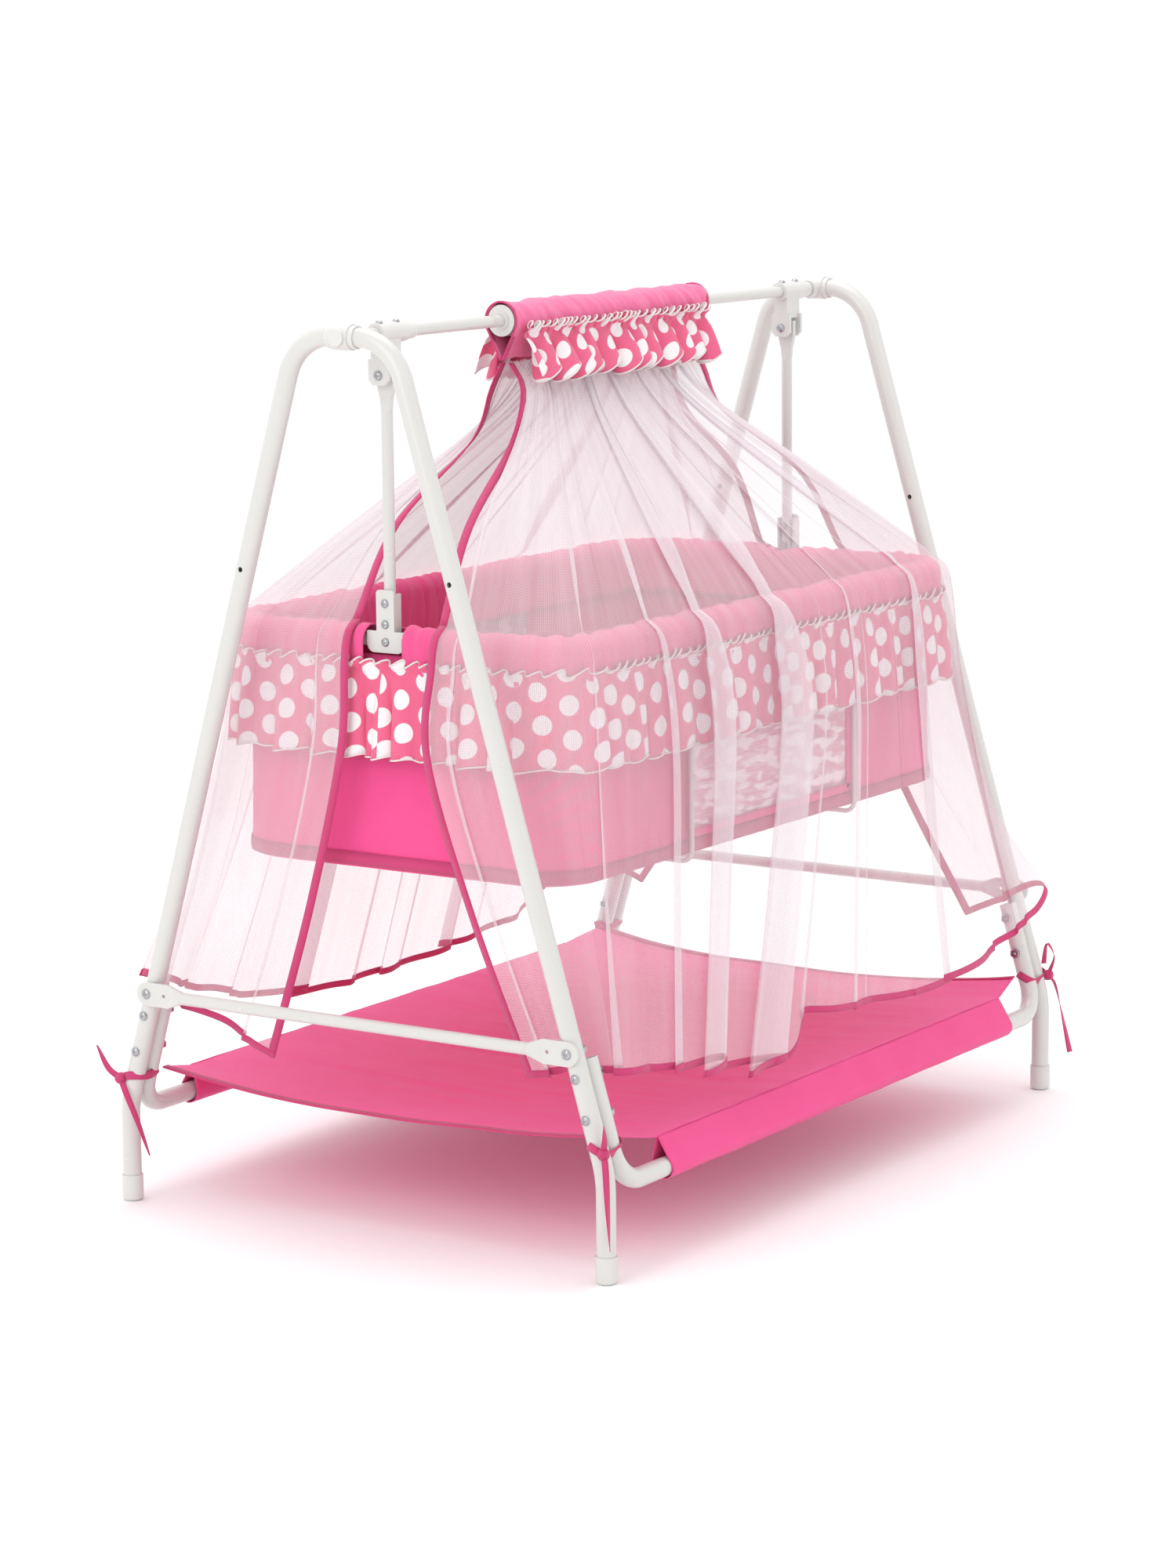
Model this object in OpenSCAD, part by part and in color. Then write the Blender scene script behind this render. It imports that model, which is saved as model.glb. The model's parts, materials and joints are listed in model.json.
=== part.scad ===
// Swinging baby cradle: a bolted tube stand, a fabric basket hung from two rods,
// a mosquito net over a roll on the top bar, and a storage sheet between the feet.
// Left is -X, right is +X, front is -Y, back is +Y. The origin is on the floor, in the middle.

/* [Stand] */
// Distance between the left and right end frames, tube centre to tube centre
frame_length = 930; // [900:5:960]
// Distance between the front and back feet, tube centre to tube centre
foot_spread = 600; // [590:5:620]
// Height of the top bar's centre line
bar_h = 923; // [915:1:935]
// Outer diameter of the leg and side rail tubes
leg_d = 20; // [19:0.5:20.5]
// Wall thickness of every tube
tube_wall = 1.2; // [1:0.1:1.6]
// Outer diameter of the top bar
bar_d = 12.7; // [12:0.1:13]
// Lean of the legs from the vertical
leg_lean = 16.5; // [16:0.25:17]
// Height at which the legs turn upright
knee_h = 108; // [104:1:110]
// Height of the two side rails
side_rail_h = 96; // [94:1:98]

/* [Cradle] */
// Distance between the two hanger rods
hanger_spacing = 790; // [780:2:796]
// Height of the swing axis
pivot_h = 881; // [879:1:883]
// Height of the basket's rail
rail_h = 611; // [608:1:614]
// Width of the basket's rail, tube centre to tube centre
rail_width = 420; // [410:5:430]
// Height of the underside of the basket
basket_floor_h = 372.5; // [370:0.5:380]

/* [Soft parts] */
// Length of the canopy roll
canopy_length = 380; // [370:5:390]
// Height of the net's hem at the middle of each long side
hem_h = 165; // [160:1:180]
// Distance from the middle to the net's hem on each long side
hem_y = 335; // [330:1:340]
// Thickness that stands in for the cloth
cloth = 2; // [1.5:0.1:2.2]

/* [Hidden] */
$fn = 48;

white_paint = "#ebe8e3";
white_plastic = "#f2f0ee";
zinc = "#b9bcc0";
hot_pink = "#ef4e8b";
dark_pink = "#d8457f";
ruffle_pink = "#ee6d92";
pale_net = "#f3d9e2";

frame_x = frame_length / 2;
foot_y = foot_spread / 2;
knee_r = 120;
apex_r = 56;
hanger_x = hanger_spacing / 2;
slip = 0.1;             // radial gap between a tube and the piece that it is pushed into

// Heights of the holes through the legs
stretcher_h = 230;
rail_bolt_hs = [205, 165];
spare_hole_h = 685;
bolt_d = 6;
bolt_hole_d = bolt_d + 2 * slip;
spare_hole_d = 5.5;

// Side rail: a U that lies against the inner side of the legs
rail_end_x = frame_x - leg_d - 0.5;
rail_top_h = 220;
rail_bend_r = 35;

// Stretcher: a tube with flattened ends
stretcher_d = 13;
blade_t = 3.2;
blade_w = 25;
stretcher_x = frame_x + leg_d / 2 + 0.2 + blade_t / 2;

// Hanger: sleeve on the bar, two cheeks, and the flat end of the rod between them
pivot_d = 6;
pivot_slip = 0.05;      // running clearance of the swing pivot, on the radius
sleeve_screw_xs = [-11, 18];
cheek_gap = 20;
cheek_t = 4;
bush_d = 12;
stop_h = 11.3;          // from the pivot up to the web that stops the swing
rod_d = 12;
rod_end_h = rail_h + 8;
screw_d = 5;
bracket_t = 3;
bracket_x = hanger_x + rod_d / 2 + 0.5;
bracket_screw_hs = [rail_h + 39.5, rail_h + 18, rail_h];

// Basket
rail_d = 12;
rail_y = rail_width / 2;
corner_r = 60;
wall_out = 3;           // from the rail's centre line out to the basket wall's outer face
wire_d = 5;
hoop_x = 170;
hoop_y = rail_y + rail_d / 2 + wire_d / 2;
hoop_drop = 5.5;
hoop_r = 12;
window_half = 165;
window_low = 395;
window_high = 572;
board_t = 4;
mattress_t = 25;
pad_r = 13.5;           // outer radius of the padded rim
flap_t = 2.1;
rim_flap_h = 578;
cutout_half = 24.5;     // half the width of the gap in the rim at each bracket

// Canopy, in heights from the bar's centre line
core_d = 33;
cover_r = 19;
pinch_drop = 40;

function leg_y(h) = foot_y - (h - knee_h) * tan(leg_lean);

// ---------- helpers ----------

// Cross-section of the tube in hand; thinner takes that much off both of its faces.
module tube_section(thinner = 0) {
    difference() {
        circle(d = $tube_d - 2 * thinner);
        if ($wall > 0) circle(d = $tube_d - 2 * $wall + 2 * thinner);
    }
}

// A straight stretch of tube along +Z; the next stretch is its child. It laps a little over
// the bends at its two ends, and a bend is a hair thinner, so that the pieces fuse cleanly.
lap = 0.3;
bend_thinner = 0.02;

module run(length) {
    translate([0, 0, -lap]) linear_extrude(length + 2 * lap) tube_section();
    translate([0, 0, length]) children();
}

// A bend from +Z towards +X; the next stretch is its child.
module bend(radius, angle) {
    translate([radius, 0, 0]) rotate([90, 0, 180])
        rotate_extrude(angle = angle) translate([radius, 0]) tube_section(bend_thinner);
    translate([radius * (1 - cos(angle)), 0, radius * sin(angle)])
        rotate([0, angle, 0]) children();
}

// Draws its children at the front for side -1, and mirrored to the back for side 1.
module at_side(side) {
    mirror([0, side > 0 ? 1 : 0, 0]) children();
}

// Draws its children at the left for end -1, and mirrored to the right for end 1.
module at_end(end) {
    mirror([end > 0 ? 1 : 0, 0, 0]) children();
}

module along_x(x, y, z) {
    translate([x, y, z]) rotate([0, 90, 0]) children();
}

// A round hole along X through both walls of whatever stands at x.
module cross_hole(x, y, z, d, length) {
    along_x(x - length / 2, y, z) cylinder(d = d, h = length);
}

// A bolt along +Z: domed head below z = 0, shank above.
module bolt(d, length, head_d, head_h) {
    dome_r = (head_d * head_d / 4 + head_h * head_h) / (2 * head_h);
    cylinder(d = d, h = length);
    rotate_extrude() intersection() {
        translate([0, dome_r - head_h]) circle(dome_r);
        translate([0, -head_h]) square([head_d, head_h]);
    }
}

module nut(d, across_flats, height) {
    difference() {
        cylinder(d = across_flats / cos(30), h = height, $fn = 6);
        translate([0, 0, -1]) cylinder(d = d + 0.1, h = height + 2);
    }
}

module rounded_rect(half_x, half_y, r) {
    square([2 * half_x, 2 * (half_y - r)], center = true);
    square([2 * (half_x - r), 2 * half_y], center = true);
    for (x = [-1, 1], y = [-1, 1])
        translate([x * (half_x - r), y * (half_y - r)]) circle(r);
}

// Sweeps a section round the basket's rail line. In the section, x is outward and y is height.
module rail_loop() {
    straight_x = hanger_x - corner_r;
    straight_y = rail_y - corner_r;
    for (turn = [0, 180]) rotate([0, 0, turn]) {
        translate([hanger_x, straight_y, 0]) rotate([90, 0, 0])
            linear_extrude(2 * straight_y) children();
        rotate([0, 0, 90]) translate([rail_y, straight_x, 0]) rotate([90, 0, 0])
            linear_extrude(2 * straight_x) children();
        translate([straight_x, straight_y, 0])
            rotate_extrude(angle = 90) translate([corner_r, 0]) children();
        translate([-straight_x, straight_y, 0]) rotate([0, 0, 90])
            rotate_extrude(angle = 90) translate([corner_r, 0]) children();
    }
}

// ---------- stand ----------

module leg(end, side) {
    foot_floor = 4;
    knee_t = knee_r * tan(leg_lean / 2);
    apex_t = apex_r * tan((90 - leg_lean) / 2);
    slope = (bar_h - knee_h) / cos(leg_lean);
    tip = 3;
    $tube_d = leg_d;
    $wall = tube_wall;
    color(white_paint) at_end(end) at_side(side) difference() {
        translate([-frame_x, -foot_y, foot_floor]) rotate([0, 0, 90])
            run(knee_h - knee_t - foot_floor)
            bend(knee_r, leg_lean)
            run(slope - knee_t - apex_t)
            bend(apex_r, 90 - leg_lean)
            run(leg_y(bar_h) - apex_t - tip);
        for (h = concat([stretcher_h], rail_bolt_hs))
            cross_hole(-frame_x, -leg_y(h), h, bolt_hole_d, 2 * leg_d);
        cross_hole(-frame_x, -leg_y(spare_hole_h), spare_hole_h, spare_hole_d, 2 * leg_d);
    }
}

module foot_caps() {
    cap_r = leg_d / 2 + 1.3;
    cap_h = 28;
    round_r = 4;
    color(white_plastic)
    for (x = [-frame_x, frame_x], y = [-foot_y, foot_y])
        translate([x, y, 0]) rotate_extrude() difference() {
            union() {
                square([cap_r - round_r, round_r]);
                translate([cap_r - round_r, round_r]) intersection() {
                    circle(round_r);
                    translate([0, -round_r]) square(round_r);
                }
                translate([0, round_r]) square([cap_r, cap_h - round_r]);
            }
            translate([-1, 3.5]) square([leg_d / 2 + slip + 1, cap_h]);
        }
}

// A tee that takes the tops of two legs and one end of the top bar.
module apex_connector(end) {
    body_d = 26;
    collar_d = 23.4;
    web = 5;
    reach = 17;
    socket_in = frame_x - 22;
    boss_out = frame_x + body_d / 2 + 2.5;
    color(white_plastic) at_end(end) difference() {
        union() {
            translate([-frame_x, 11, bar_h]) rotate([90, 0, 0]) cylinder(d = body_d, h = 22);
            translate([-frame_x, reach, bar_h]) rotate([90, 0, 0])
                cylinder(d = collar_d, h = 2 * reach);
            along_x(-frame_x, 0, bar_h) cylinder(d = 19, h = frame_x - socket_in);
            along_x(-boss_out, 0, bar_h) cylinder(d = 17, h = boss_out - frame_x);
        }
        for (side = [-1, 1]) at_side(side)
            translate([-frame_x, -web / 2, bar_h]) rotate([90, 0, 0])
                cylinder(d = leg_d + 2 * slip, h = reach);
        along_x(-frame_x + 10.8, 0, bar_h) cylinder(d = bar_d + 2 * slip, h = 40);
    }
}

module top_bar() {
    bar_end = frame_x - 11;
    color(white_paint) along_x(-bar_end, 0, bar_h) linear_extrude(2 * bar_end) difference() {
        circle(d = bar_d);
        circle(d = bar_d - 2 * tube_wall);
    }
}

module stretcher(end) {
    y = leg_y(stretcher_h);
    blade_in = y - 29;
    tube_end = blade_in - 18;
    rivet_in = 23;
    inset = 0.2;
    color(white_paint) at_end(end) translate([-stretcher_x, 0, stretcher_h]) {
        translate([0, tube_end, 0]) rotate([90, 0, 0]) linear_extrude(2 * tube_end) difference() {
            circle(d = stretcher_d);
            circle(d = stretcher_d - 2 * tube_wall);
        }
        for (side = [-1, 1]) at_side(side) {
            hull() {
                translate([-blade_t / 2 + inset / 2, -blade_in - 1, -blade_w / 2 + inset])
                    cube([blade_t - inset, 1, blade_w - 2 * inset]);
                translate([0, 1 - tube_end, 0]) rotate([90, 0, 0]) rotate([0, 0, 5])
                    cylinder(d = stretcher_d - 2 * inset, h = 1, $fn = 32);
            }
            translate([-blade_t / 2, -y, 0]) rotate([90, 0, 90]) linear_extrude(blade_t)
                difference() {
                    union() {
                        circle(d = blade_w);
                        translate([0, -blade_w / 2]) square([y - blade_in, blade_w]);
                    }
                    circle(d = bolt_hole_d);
                    translate([rivet_in, 0]) circle(d = 4);
                }
        }
    }
}

module stretcher_bolts() {
    head = stretcher_x + blade_t / 2;
    color(zinc) for (end = [-1, 1], side = [-1, 1]) at_end(end) at_side(side)
        along_x(-head, -leg_y(stretcher_h), stretcher_h)
            bolt(bolt_d, head - frame_x + leg_d / 2 + 6, 11, 3.2);
}

module stretcher_nuts() {
    color(zinc) for (end = [-1, 1], side = [-1, 1]) at_end(end) at_side(side)
        along_x(-frame_x + leg_d / 2, -leg_y(stretcher_h), stretcher_h) nut(bolt_d, 10, 5);
}

module side_rail(side) {
    end_run = (rail_top_h - side_rail_h) / cos(leg_lean) - rail_bend_r;
    $tube_d = leg_d;
    $wall = tube_wall;
    color(white_paint) at_side(side) difference() {
        translate([-rail_end_x, -leg_y(rail_top_h), rail_top_h]) rotate([180 - leg_lean, 0, 0])
            run(end_run)
            bend(rail_bend_r, 90)
            run(2 * (rail_end_x - rail_bend_r))
            bend(rail_bend_r, 90)
            run(end_run);
        for (h = rail_bolt_hs, x = [-rail_end_x, rail_end_x])
            cross_hole(x, -leg_y(h), h, bolt_hole_d, 2 * leg_d);
    }
}

module side_rail_bolts() {
    head = frame_x + leg_d / 2;
    color(zinc) for (end = [-1, 1], side = [-1, 1], h = rail_bolt_hs) at_end(end) at_side(side)
        along_x(-head, -leg_y(h), h) bolt(bolt_d, 2 * leg_d + 5, 10, 3.2);
}

module side_rail_nuts() {
    color(zinc) for (end = [-1, 1], side = [-1, 1], h = rail_bolt_hs) at_end(end) at_side(side)
        along_x(-rail_end_x + leg_d / 2, -leg_y(h), h) nut(bolt_d, 10, 4.5);
}

// ---------- hangers ----------

// A sleeve screwed on to the top bar, with a web and two cheeks that hold the pivot bolt.
module hanger_sleeve(x) {
    cheek_out = cheek_gap / 2 + cheek_t;
    cheek_w = 24;
    chamfer = 5;
    cheek_low = pivot_h - 10;
    cheek_high = pivot_h + 16;
    neck_w = 17;
    body_d = 21;
    body_start = -18;
    cone_start = 27;
    cone_length = 13;
    end_d = 16.5;
    color(white_plastic) translate([x, 0, 0]) difference() {
        union() {
            along_x(body_start, 0, bar_h) cylinder(d = body_d, h = cone_start - body_start);
            along_x(cone_start, 0, bar_h) cylinder(d1 = body_d, d2 = end_d, h = cone_length);
            along_x(cone_start + cone_length, 0, bar_h) cylinder(d = end_d, h = 4);
            translate([-cheek_out, -neck_w / 2, pivot_h + stop_h])
                cube([2 * cheek_out, neck_w, bar_h - pivot_h - stop_h]);
            for (cheek_x = [-cheek_out, cheek_gap / 2])
                translate([cheek_x, 0, 0]) rotate([90, 0, 90]) linear_extrude(cheek_t)
                    polygon([
                        [-cheek_w / 2 + chamfer, cheek_low], [cheek_w / 2 - chamfer, cheek_low],
                        [cheek_w / 2, cheek_low + chamfer], [cheek_w / 2, cheek_high],
                        [-cheek_w / 2, cheek_high], [-cheek_w / 2, cheek_low + chamfer]
                    ]);
        }
        along_x(-50, 0, bar_h) cylinder(d = bar_d + 2 * slip, h = 100);
        cross_hole(0, 0, pivot_h, pivot_d + 2 * pivot_slip, 60);
        for (screw_x = sleeve_screw_xs)
            translate([screw_x, 0, bar_h]) cylinder(d = 4.2, h = 20);
    }
}

module sleeve_screws() {
    bar_top = bar_h + bar_d / 2 + 0.1;
    sleeve_top = bar_h + 10.5;
    color(zinc) for (x = [-hanger_x, hanger_x], screw_x = sleeve_screw_xs)
        translate([x + screw_x, 0, sleeve_top + 0.05]) mirror([0, 0, 1])
            bolt(4, sleeve_top - bar_top, 7.5, 2.5);
}

module pivot_bolts() {
    cheek_out = cheek_gap / 2 + cheek_t;
    color(zinc) for (x = [-hanger_x, hanger_x])
        along_x(x - cheek_out, 0, pivot_h) bolt(pivot_d, 2 * cheek_out + 6, 10, 3.4);
}

module pivot_nuts() {
    color(zinc) for (x = [-hanger_x, hanger_x])
        along_x(x + cheek_gap / 2 + cheek_t, 0, pivot_h) nut(pivot_d, 10, 5);
}

module pivot_bushes() {
    length = cheek_gap - 0.6;
    color(white_plastic) for (x = [-hanger_x, hanger_x]) difference() {
        cross_hole(x, 0, pivot_h, bush_d, length);
        cross_hole(x, 0, pivot_h, pivot_d + 2 * pivot_slip, length + 2);
    }
}

// The rod's top is flattened; its square corners meet the sleeve's web at the end of the swing.
module hanger_rod(end) {
    flat_t = 6;
    inset = 0.2;
    flat_w = 20;
    flat_low = pivot_h - 22;
    tube_top = pivot_h - 38;
    color(white_paint) at_end(end) translate([-hanger_x, 0, 0]) difference() {
        union() {
            rotate([90, 0, 90]) translate([0, 0, -flat_t / 2]) linear_extrude(flat_t) polygon([
                [-7, flat_low], [7, flat_low], [flat_w / 2, pivot_h - 10],
                [flat_w / 2, pivot_h + 8], [-flat_w / 2, pivot_h + 8], [-flat_w / 2, pivot_h - 10]
            ]);
            hull() {
                translate([-flat_t / 2 + inset, -7 + inset, flat_low])
                    cube([flat_t - 2 * inset, 14 - 2 * inset, 1]);
                translate([0, 0, tube_top - 1])
                    cylinder(d = rod_d - 2 * inset, h = 1, $fn = 32);
            }
            translate([0, 0, rod_end_h]) linear_extrude(tube_top - rod_end_h) difference() {
                circle(d = rod_d);
                circle(d = rod_d - 2 * tube_wall);
            }
        }
        cross_hole(0, 0, pivot_h, bush_d + 0.1, 2 * flat_t);
        for (h = bracket_screw_hs) cross_hole(0, 0, h, screw_d + 2 * slip, 2 * rod_d);
    }
}

// A plate with an upright channel: it holds the rod's lower end and the basket's rail.
module hanger_bracket(end) {
    plate_w = 46;
    plate_low = rail_h - 11;
    plate_high = rail_h + 11;
    round_r = 9;
    channel_w = 22;
    channel_high = rail_h + 53;
    channel_depth = 13;
    side_t = 2.5;
    color(white_paint) at_end(end) difference() {
        union() {
            translate([-bracket_x - bracket_t, 0, 0]) rotate([90, 0, 90])
                linear_extrude(bracket_t) {
                    translate([-plate_w / 2, plate_low + round_r])
                        square([plate_w, plate_high - plate_low - round_r]);
                    translate([-plate_w / 2 + round_r, plate_low])
                        square([plate_w - 2 * round_r, round_r]);
                    for (y = [-1, 1])
                        translate([y * (plate_w / 2 - round_r), plate_low + round_r])
                            circle(round_r);
                    translate([-channel_w / 2, plate_low])
                        square([channel_w, channel_high - plate_low - 4]);
                    translate([-channel_w / 2 + 4, plate_low])
                        square([channel_w - 8, channel_high - plate_low]);
                    for (y = [-1, 1])
                        translate([y * (channel_w / 2 - 4), channel_high - 4]) circle(4);
                }
            for (y = [-channel_w / 2, channel_w / 2 - side_t])
                translate([-bracket_x - bracket_t, y, rail_h + 9])
                    cube([channel_depth, side_t, channel_high - rail_h - 13]);
        }
        for (h = bracket_screw_hs)
            cross_hole(-bracket_x, 0, h, screw_d + 2 * slip, 4 * bracket_t);
    }
}

module bracket_screws() {
    head = bracket_x + bracket_t;
    color(zinc) for (end = [-1, 1], h = bracket_screw_hs) at_end(end)
        along_x(-head, 0, h) bolt(screw_d, head - hanger_x + rod_d / 2 + 4, 9, 3);
}

module bracket_nuts() {
    color(zinc) for (end = [-1, 1], h = bracket_screw_hs) at_end(end)
        along_x(-hanger_x + rod_d / 2, 0, h) nut(screw_d, 8, 4);
}

// ---------- basket ----------

module basket_rail() {
    color(white_paint) difference() {
        translate([0, 0, rail_h]) rail_loop() difference() {
            circle(d = rail_d);
            circle(d = rail_d - 2 * tube_wall);
        }
        for (x = [-hanger_x, hanger_x]) cross_hole(x, 0, rail_h, screw_d + 2 * slip, 2 * rail_d);
    }
}

// A wire hoop from the rail, under the basket and up to the rail again.
module hoop(x) {
    low = basket_floor_h - hoop_drop;
    high = rail_h - 5;
    drop = high - low - hoop_r;
    $tube_d = wire_d;
    $wall = 0;
    color(white_paint) translate([x, -hoop_y, high]) rotate([180, 0, 90])
        run(drop)
        bend(hoop_r, 90)
        run(2 * (hoop_y - hoop_r))
        bend(hoop_r, 90)
        run(drop);
}

module basket_plan(inset) {
    rounded_rect(hanger_x + wall_out - inset, rail_y + wall_out - inset,
        corner_r + wall_out - inset);
}

module basket_fabric() {
    floor_t = 2.5;
    wall_top = rail_h - 14;
    color(hot_pink) difference() {
        translate([0, 0, basket_floor_h])
            linear_extrude(wall_top - basket_floor_h) basket_plan(0);
        translate([0, 0, basket_floor_h + floor_t])
            linear_extrude(wall_top - basket_floor_h) basket_plan(cloth);
        translate([-window_half, -2 * rail_y, window_low])
            cube([2 * window_half, 4 * rail_y, window_high - window_low]);
    }
}

module window_mesh(side) {
    gap = 0.2;
    mesh_t = 1;
    color(pale_net) at_side(side)
        translate([gap - window_half, -rail_y - wall_out + 0.5, window_low + gap])
            cube([2 * (window_half - gap), mesh_t, window_high - window_low - 2 * gap]);
}

module base_board() {
    color(dark_pink) translate([0, 0, basket_floor_h + 2.7])
        linear_extrude(board_t) basket_plan(5);
}

module mattress() {
    color(pale_net) translate([0, 0, basket_floor_h + 3 + board_t])
        linear_extrude(mattress_t) basket_plan(9);
}

// The padded cover over the rail: a half ring with a flap down each side of the wall.
module rim_cover() {
    inner_flap_h = rim_flap_h - 12;
    gap_depth = pad_r - flap_t - 0.3;
    color(hot_pink) difference() {
        rail_loop() {
            translate([0, rail_h]) intersection() {
                difference() {
                    circle(pad_r);
                    circle(d = rail_d + 1.2);
                }
                translate([-2 * pad_r, 0]) square([4 * pad_r, 2 * pad_r]);
            }
            translate([pad_r - flap_t, rim_flap_h]) square([flap_t, rail_h - rim_flap_h]);
            translate([-pad_r, inner_flap_h]) square([flap_t, rail_h - inner_flap_h]);
        }
        for (end = [-1, 1]) at_end(end)
            translate([-hanger_x - 40, -cutout_half, inner_flap_h - 10])
                cube([40 + gap_depth, 2 * cutout_half, 100]);
    }
}

module basket_ruffle() {
    top = rim_flap_h - 0.5;
    low = top - 83;
    color(ruffle_pink) rail_loop()
        polygon([[14, top], [16, top], [19, low], [16.5, low]]);
}

// ---------- canopy and nets ----------

module canopy_end_cap(end) {
    out = canopy_length / 2;
    color(white_plastic) at_end(end) difference() {
        union() {
            along_x(-out, 0, bar_h) cylinder(d = core_d, h = 6);
            along_x(-out - 2, 0, bar_h) cylinder(d = 19, h = 8);
        }
        along_x(-out - 10, 0, bar_h) cylinder(d = bar_d + 2 * slip, h = 40);
    }
}

module canopy_core() {
    length = canopy_length - 12.4;
    color(white_plastic) along_x(-length / 2, 0, bar_h) linear_extrude(length) difference() {
        circle(d = core_d);
        circle(d = core_d - 3);
    }
}

// A circle drawn out downwards to a narrow pinch, seen from the end.
module teardrop(r, drop, pinch_r) {
    hull() {
        circle(r);
        translate([0, -drop]) circle(pinch_r);
    }
}

module canopy_cover() {
    color(hot_pink) translate([-canopy_length / 2, 0, bar_h]) rotate([90, 0, 90])
        linear_extrude(canopy_length) difference() {
            teardrop(cover_r, pinch_drop, 2);
            teardrop(cover_r - cloth, pinch_drop - 4, 0.5);
        }
}

module canopy_ruffle(side) {
    color(ruffle_pink) at_side(side) translate([-canopy_length / 2, 0, bar_h])
        rotate([90, 0, 90]) linear_extrude(canopy_length)
            polygon([[-17, -13], [-21, -13], [-40, -60], [-35, -60]]);
}

// A point on the open outline of half a rounded rectangle, from its left end round the
// front to its right end. It starts at y = -start_y, and s goes from 0 to 1.
function outline_point(half_x, half_y, r, start_y, s) =
    s > 0.5 ? let (p = outline_point(half_x, half_y, r, start_y, 1 - s)) [-p.x, p.y]
    : let (end_run = half_y - r - start_y, arc = PI * r / 2,
           d = s * 2 * (end_run + arc + half_x - r))
      d < end_run ? [-half_x, -start_y - d]
      : d < end_run + arc ? let (a = (d - end_run) / r * 180 / PI)
        [-half_x + r - r * cos(a), -half_y + r - r * sin(a)]
      : [-half_x + r + d - end_run - arc, -half_y];

net_top_y = 6;
net_top_h = bar_h - 45;
net_top_half = canopy_length / 2 - 5;
net_rim = [hanger_x + 17.5, rail_y + 18, 75, 55];
net_hem = [426, hem_y, 90, 190];

function net_top(s, t) = [net_top_half * (2 * s - 1), -net_top_y - t, net_top_h];
function net_at_rim(s, t) =
    let (p = outline_point(net_rim[0] + t, net_rim[1] + t, net_rim[2] + t, net_rim[3], s))
    [p.x, p.y, rail_h + 21];
function net_at_hem(s, t) =
    let (p = outline_point(net_hem[0] + t, net_hem[1] + t, net_hem[2] + t, net_hem[3], s),
         end_share = pow(abs(p.x) / net_hem[0], 3),
         corner_share = end_share * (-p.y - net_hem[3]) / (net_hem[1] - net_hem[3]))
    [p.x, p.y, hem_h + 25 * end_share + 60 * corner_share];
function net_point(s, v, t) =
    v < 1 ? (1 - v) * net_top(s, t) + v * net_at_rim(s, t)
    : (2 - v) * net_at_rim(s, t) + (v - 1) * net_at_hem(s, t);

// Triangles of a grid of columns x rows points in two layers, closed round its border.
function grid_faces(columns, rows) =
    let (layer = columns * rows)
    concat(
        [for (j = [0 : rows - 2], i = [0 : columns - 2], k = [0, 1], half = [0, 1])
            let (a = j * columns + i, b = a + 1, c = a + columns, d = c + 1,
                 face = half == 0 ? [a, b, c] : [b, d, c])
            k == 0 ? face : [face[2] + layer, face[1] + layer, face[0] + layer]],
        [for (i = [0 : columns - 2], half = [0, 1])
            let (a = i, b = i + 1) half == 0 ? [b, a, a + layer] : [b, a + layer, b + layer]],
        [for (i = [0 : columns - 2], half = [0, 1])
            let (a = (rows - 1) * columns + i, b = a + 1)
            half == 0 ? [a, b, a + layer] : [b, b + layer, a + layer]],
        [for (j = [0 : rows - 2], half = [0, 1])
            let (a = j * columns, b = a + columns)
            half == 0 ? [a, b, a + layer] : [b, b + layer, a + layer]],
        [for (j = [0 : rows - 2], half = [0, 1])
            let (a = (j + 1) * columns - 1, b = a + columns)
            half == 0 ? [b, a, a + layer] : [b, a + layer, b + layer]]
    );

// One curtain: gathered under the canopy, laid over the basket's rim and open at both ends.
module net(side) {
    columns = 49;
    rows = 9;
    color(pale_net) at_side(side) polyhedron(
        points = [for (t = [0, cloth], j = [0 : rows - 1], i = [0 : columns - 1])
            net_point(i / (columns - 1), 2 * j / (rows - 1), t)],
        faces = grid_faces(columns, rows));
}

// ---------- storage sheet ----------

module sleeve_outline(r, rise) {
    circle(r);
    translate([0, rise]) circle(r);
    translate([-r, 0]) square([2 * r, rise]);
}

// A sagging sheet with a loose sleeve hanging from each side, and the side rail in its bottom.
module storage_sheet() {
    panel_half = 425;
    panel_y = 284;
    sleeve_half = 365;
    sleeve_r = 13;
    sleeve_rise = 16;
    rail_line_y = leg_y(side_rail_h);
    edge_h = side_rail_h + sleeve_rise + sleeve_r;
    sag = 12;
    steps = 24;
    ys = [for (i = [0 : steps]) panel_y * (2 * i / steps - 1)];
    color(hot_pink) {
        translate([-panel_half, 0, edge_h]) rotate([90, 0, 90]) linear_extrude(2 * panel_half)
            polygon(concat(
                [for (y = ys) [y, -sag * (1 - pow(y / panel_y, 2))]],
                [for (i = [steps : -1 : 0]) [ys[i], -cloth - sag * (1 - pow(ys[i] / panel_y, 2))]]
            ));
        for (side = [-1, 1]) at_side(side) {
            translate([-sleeve_half, -rail_line_y, side_rail_h]) rotate([90, 0, 90])
                linear_extrude(2 * sleeve_half) difference() {
                    sleeve_outline(sleeve_r, sleeve_rise);
                    sleeve_outline(sleeve_r - cloth, sleeve_rise);
                }
            translate([-sleeve_half, -rail_line_y, edge_h - cloth])
                cube([2 * sleeve_half, rail_line_y - panel_y + 1, cloth]);
        }
    }
}

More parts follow.
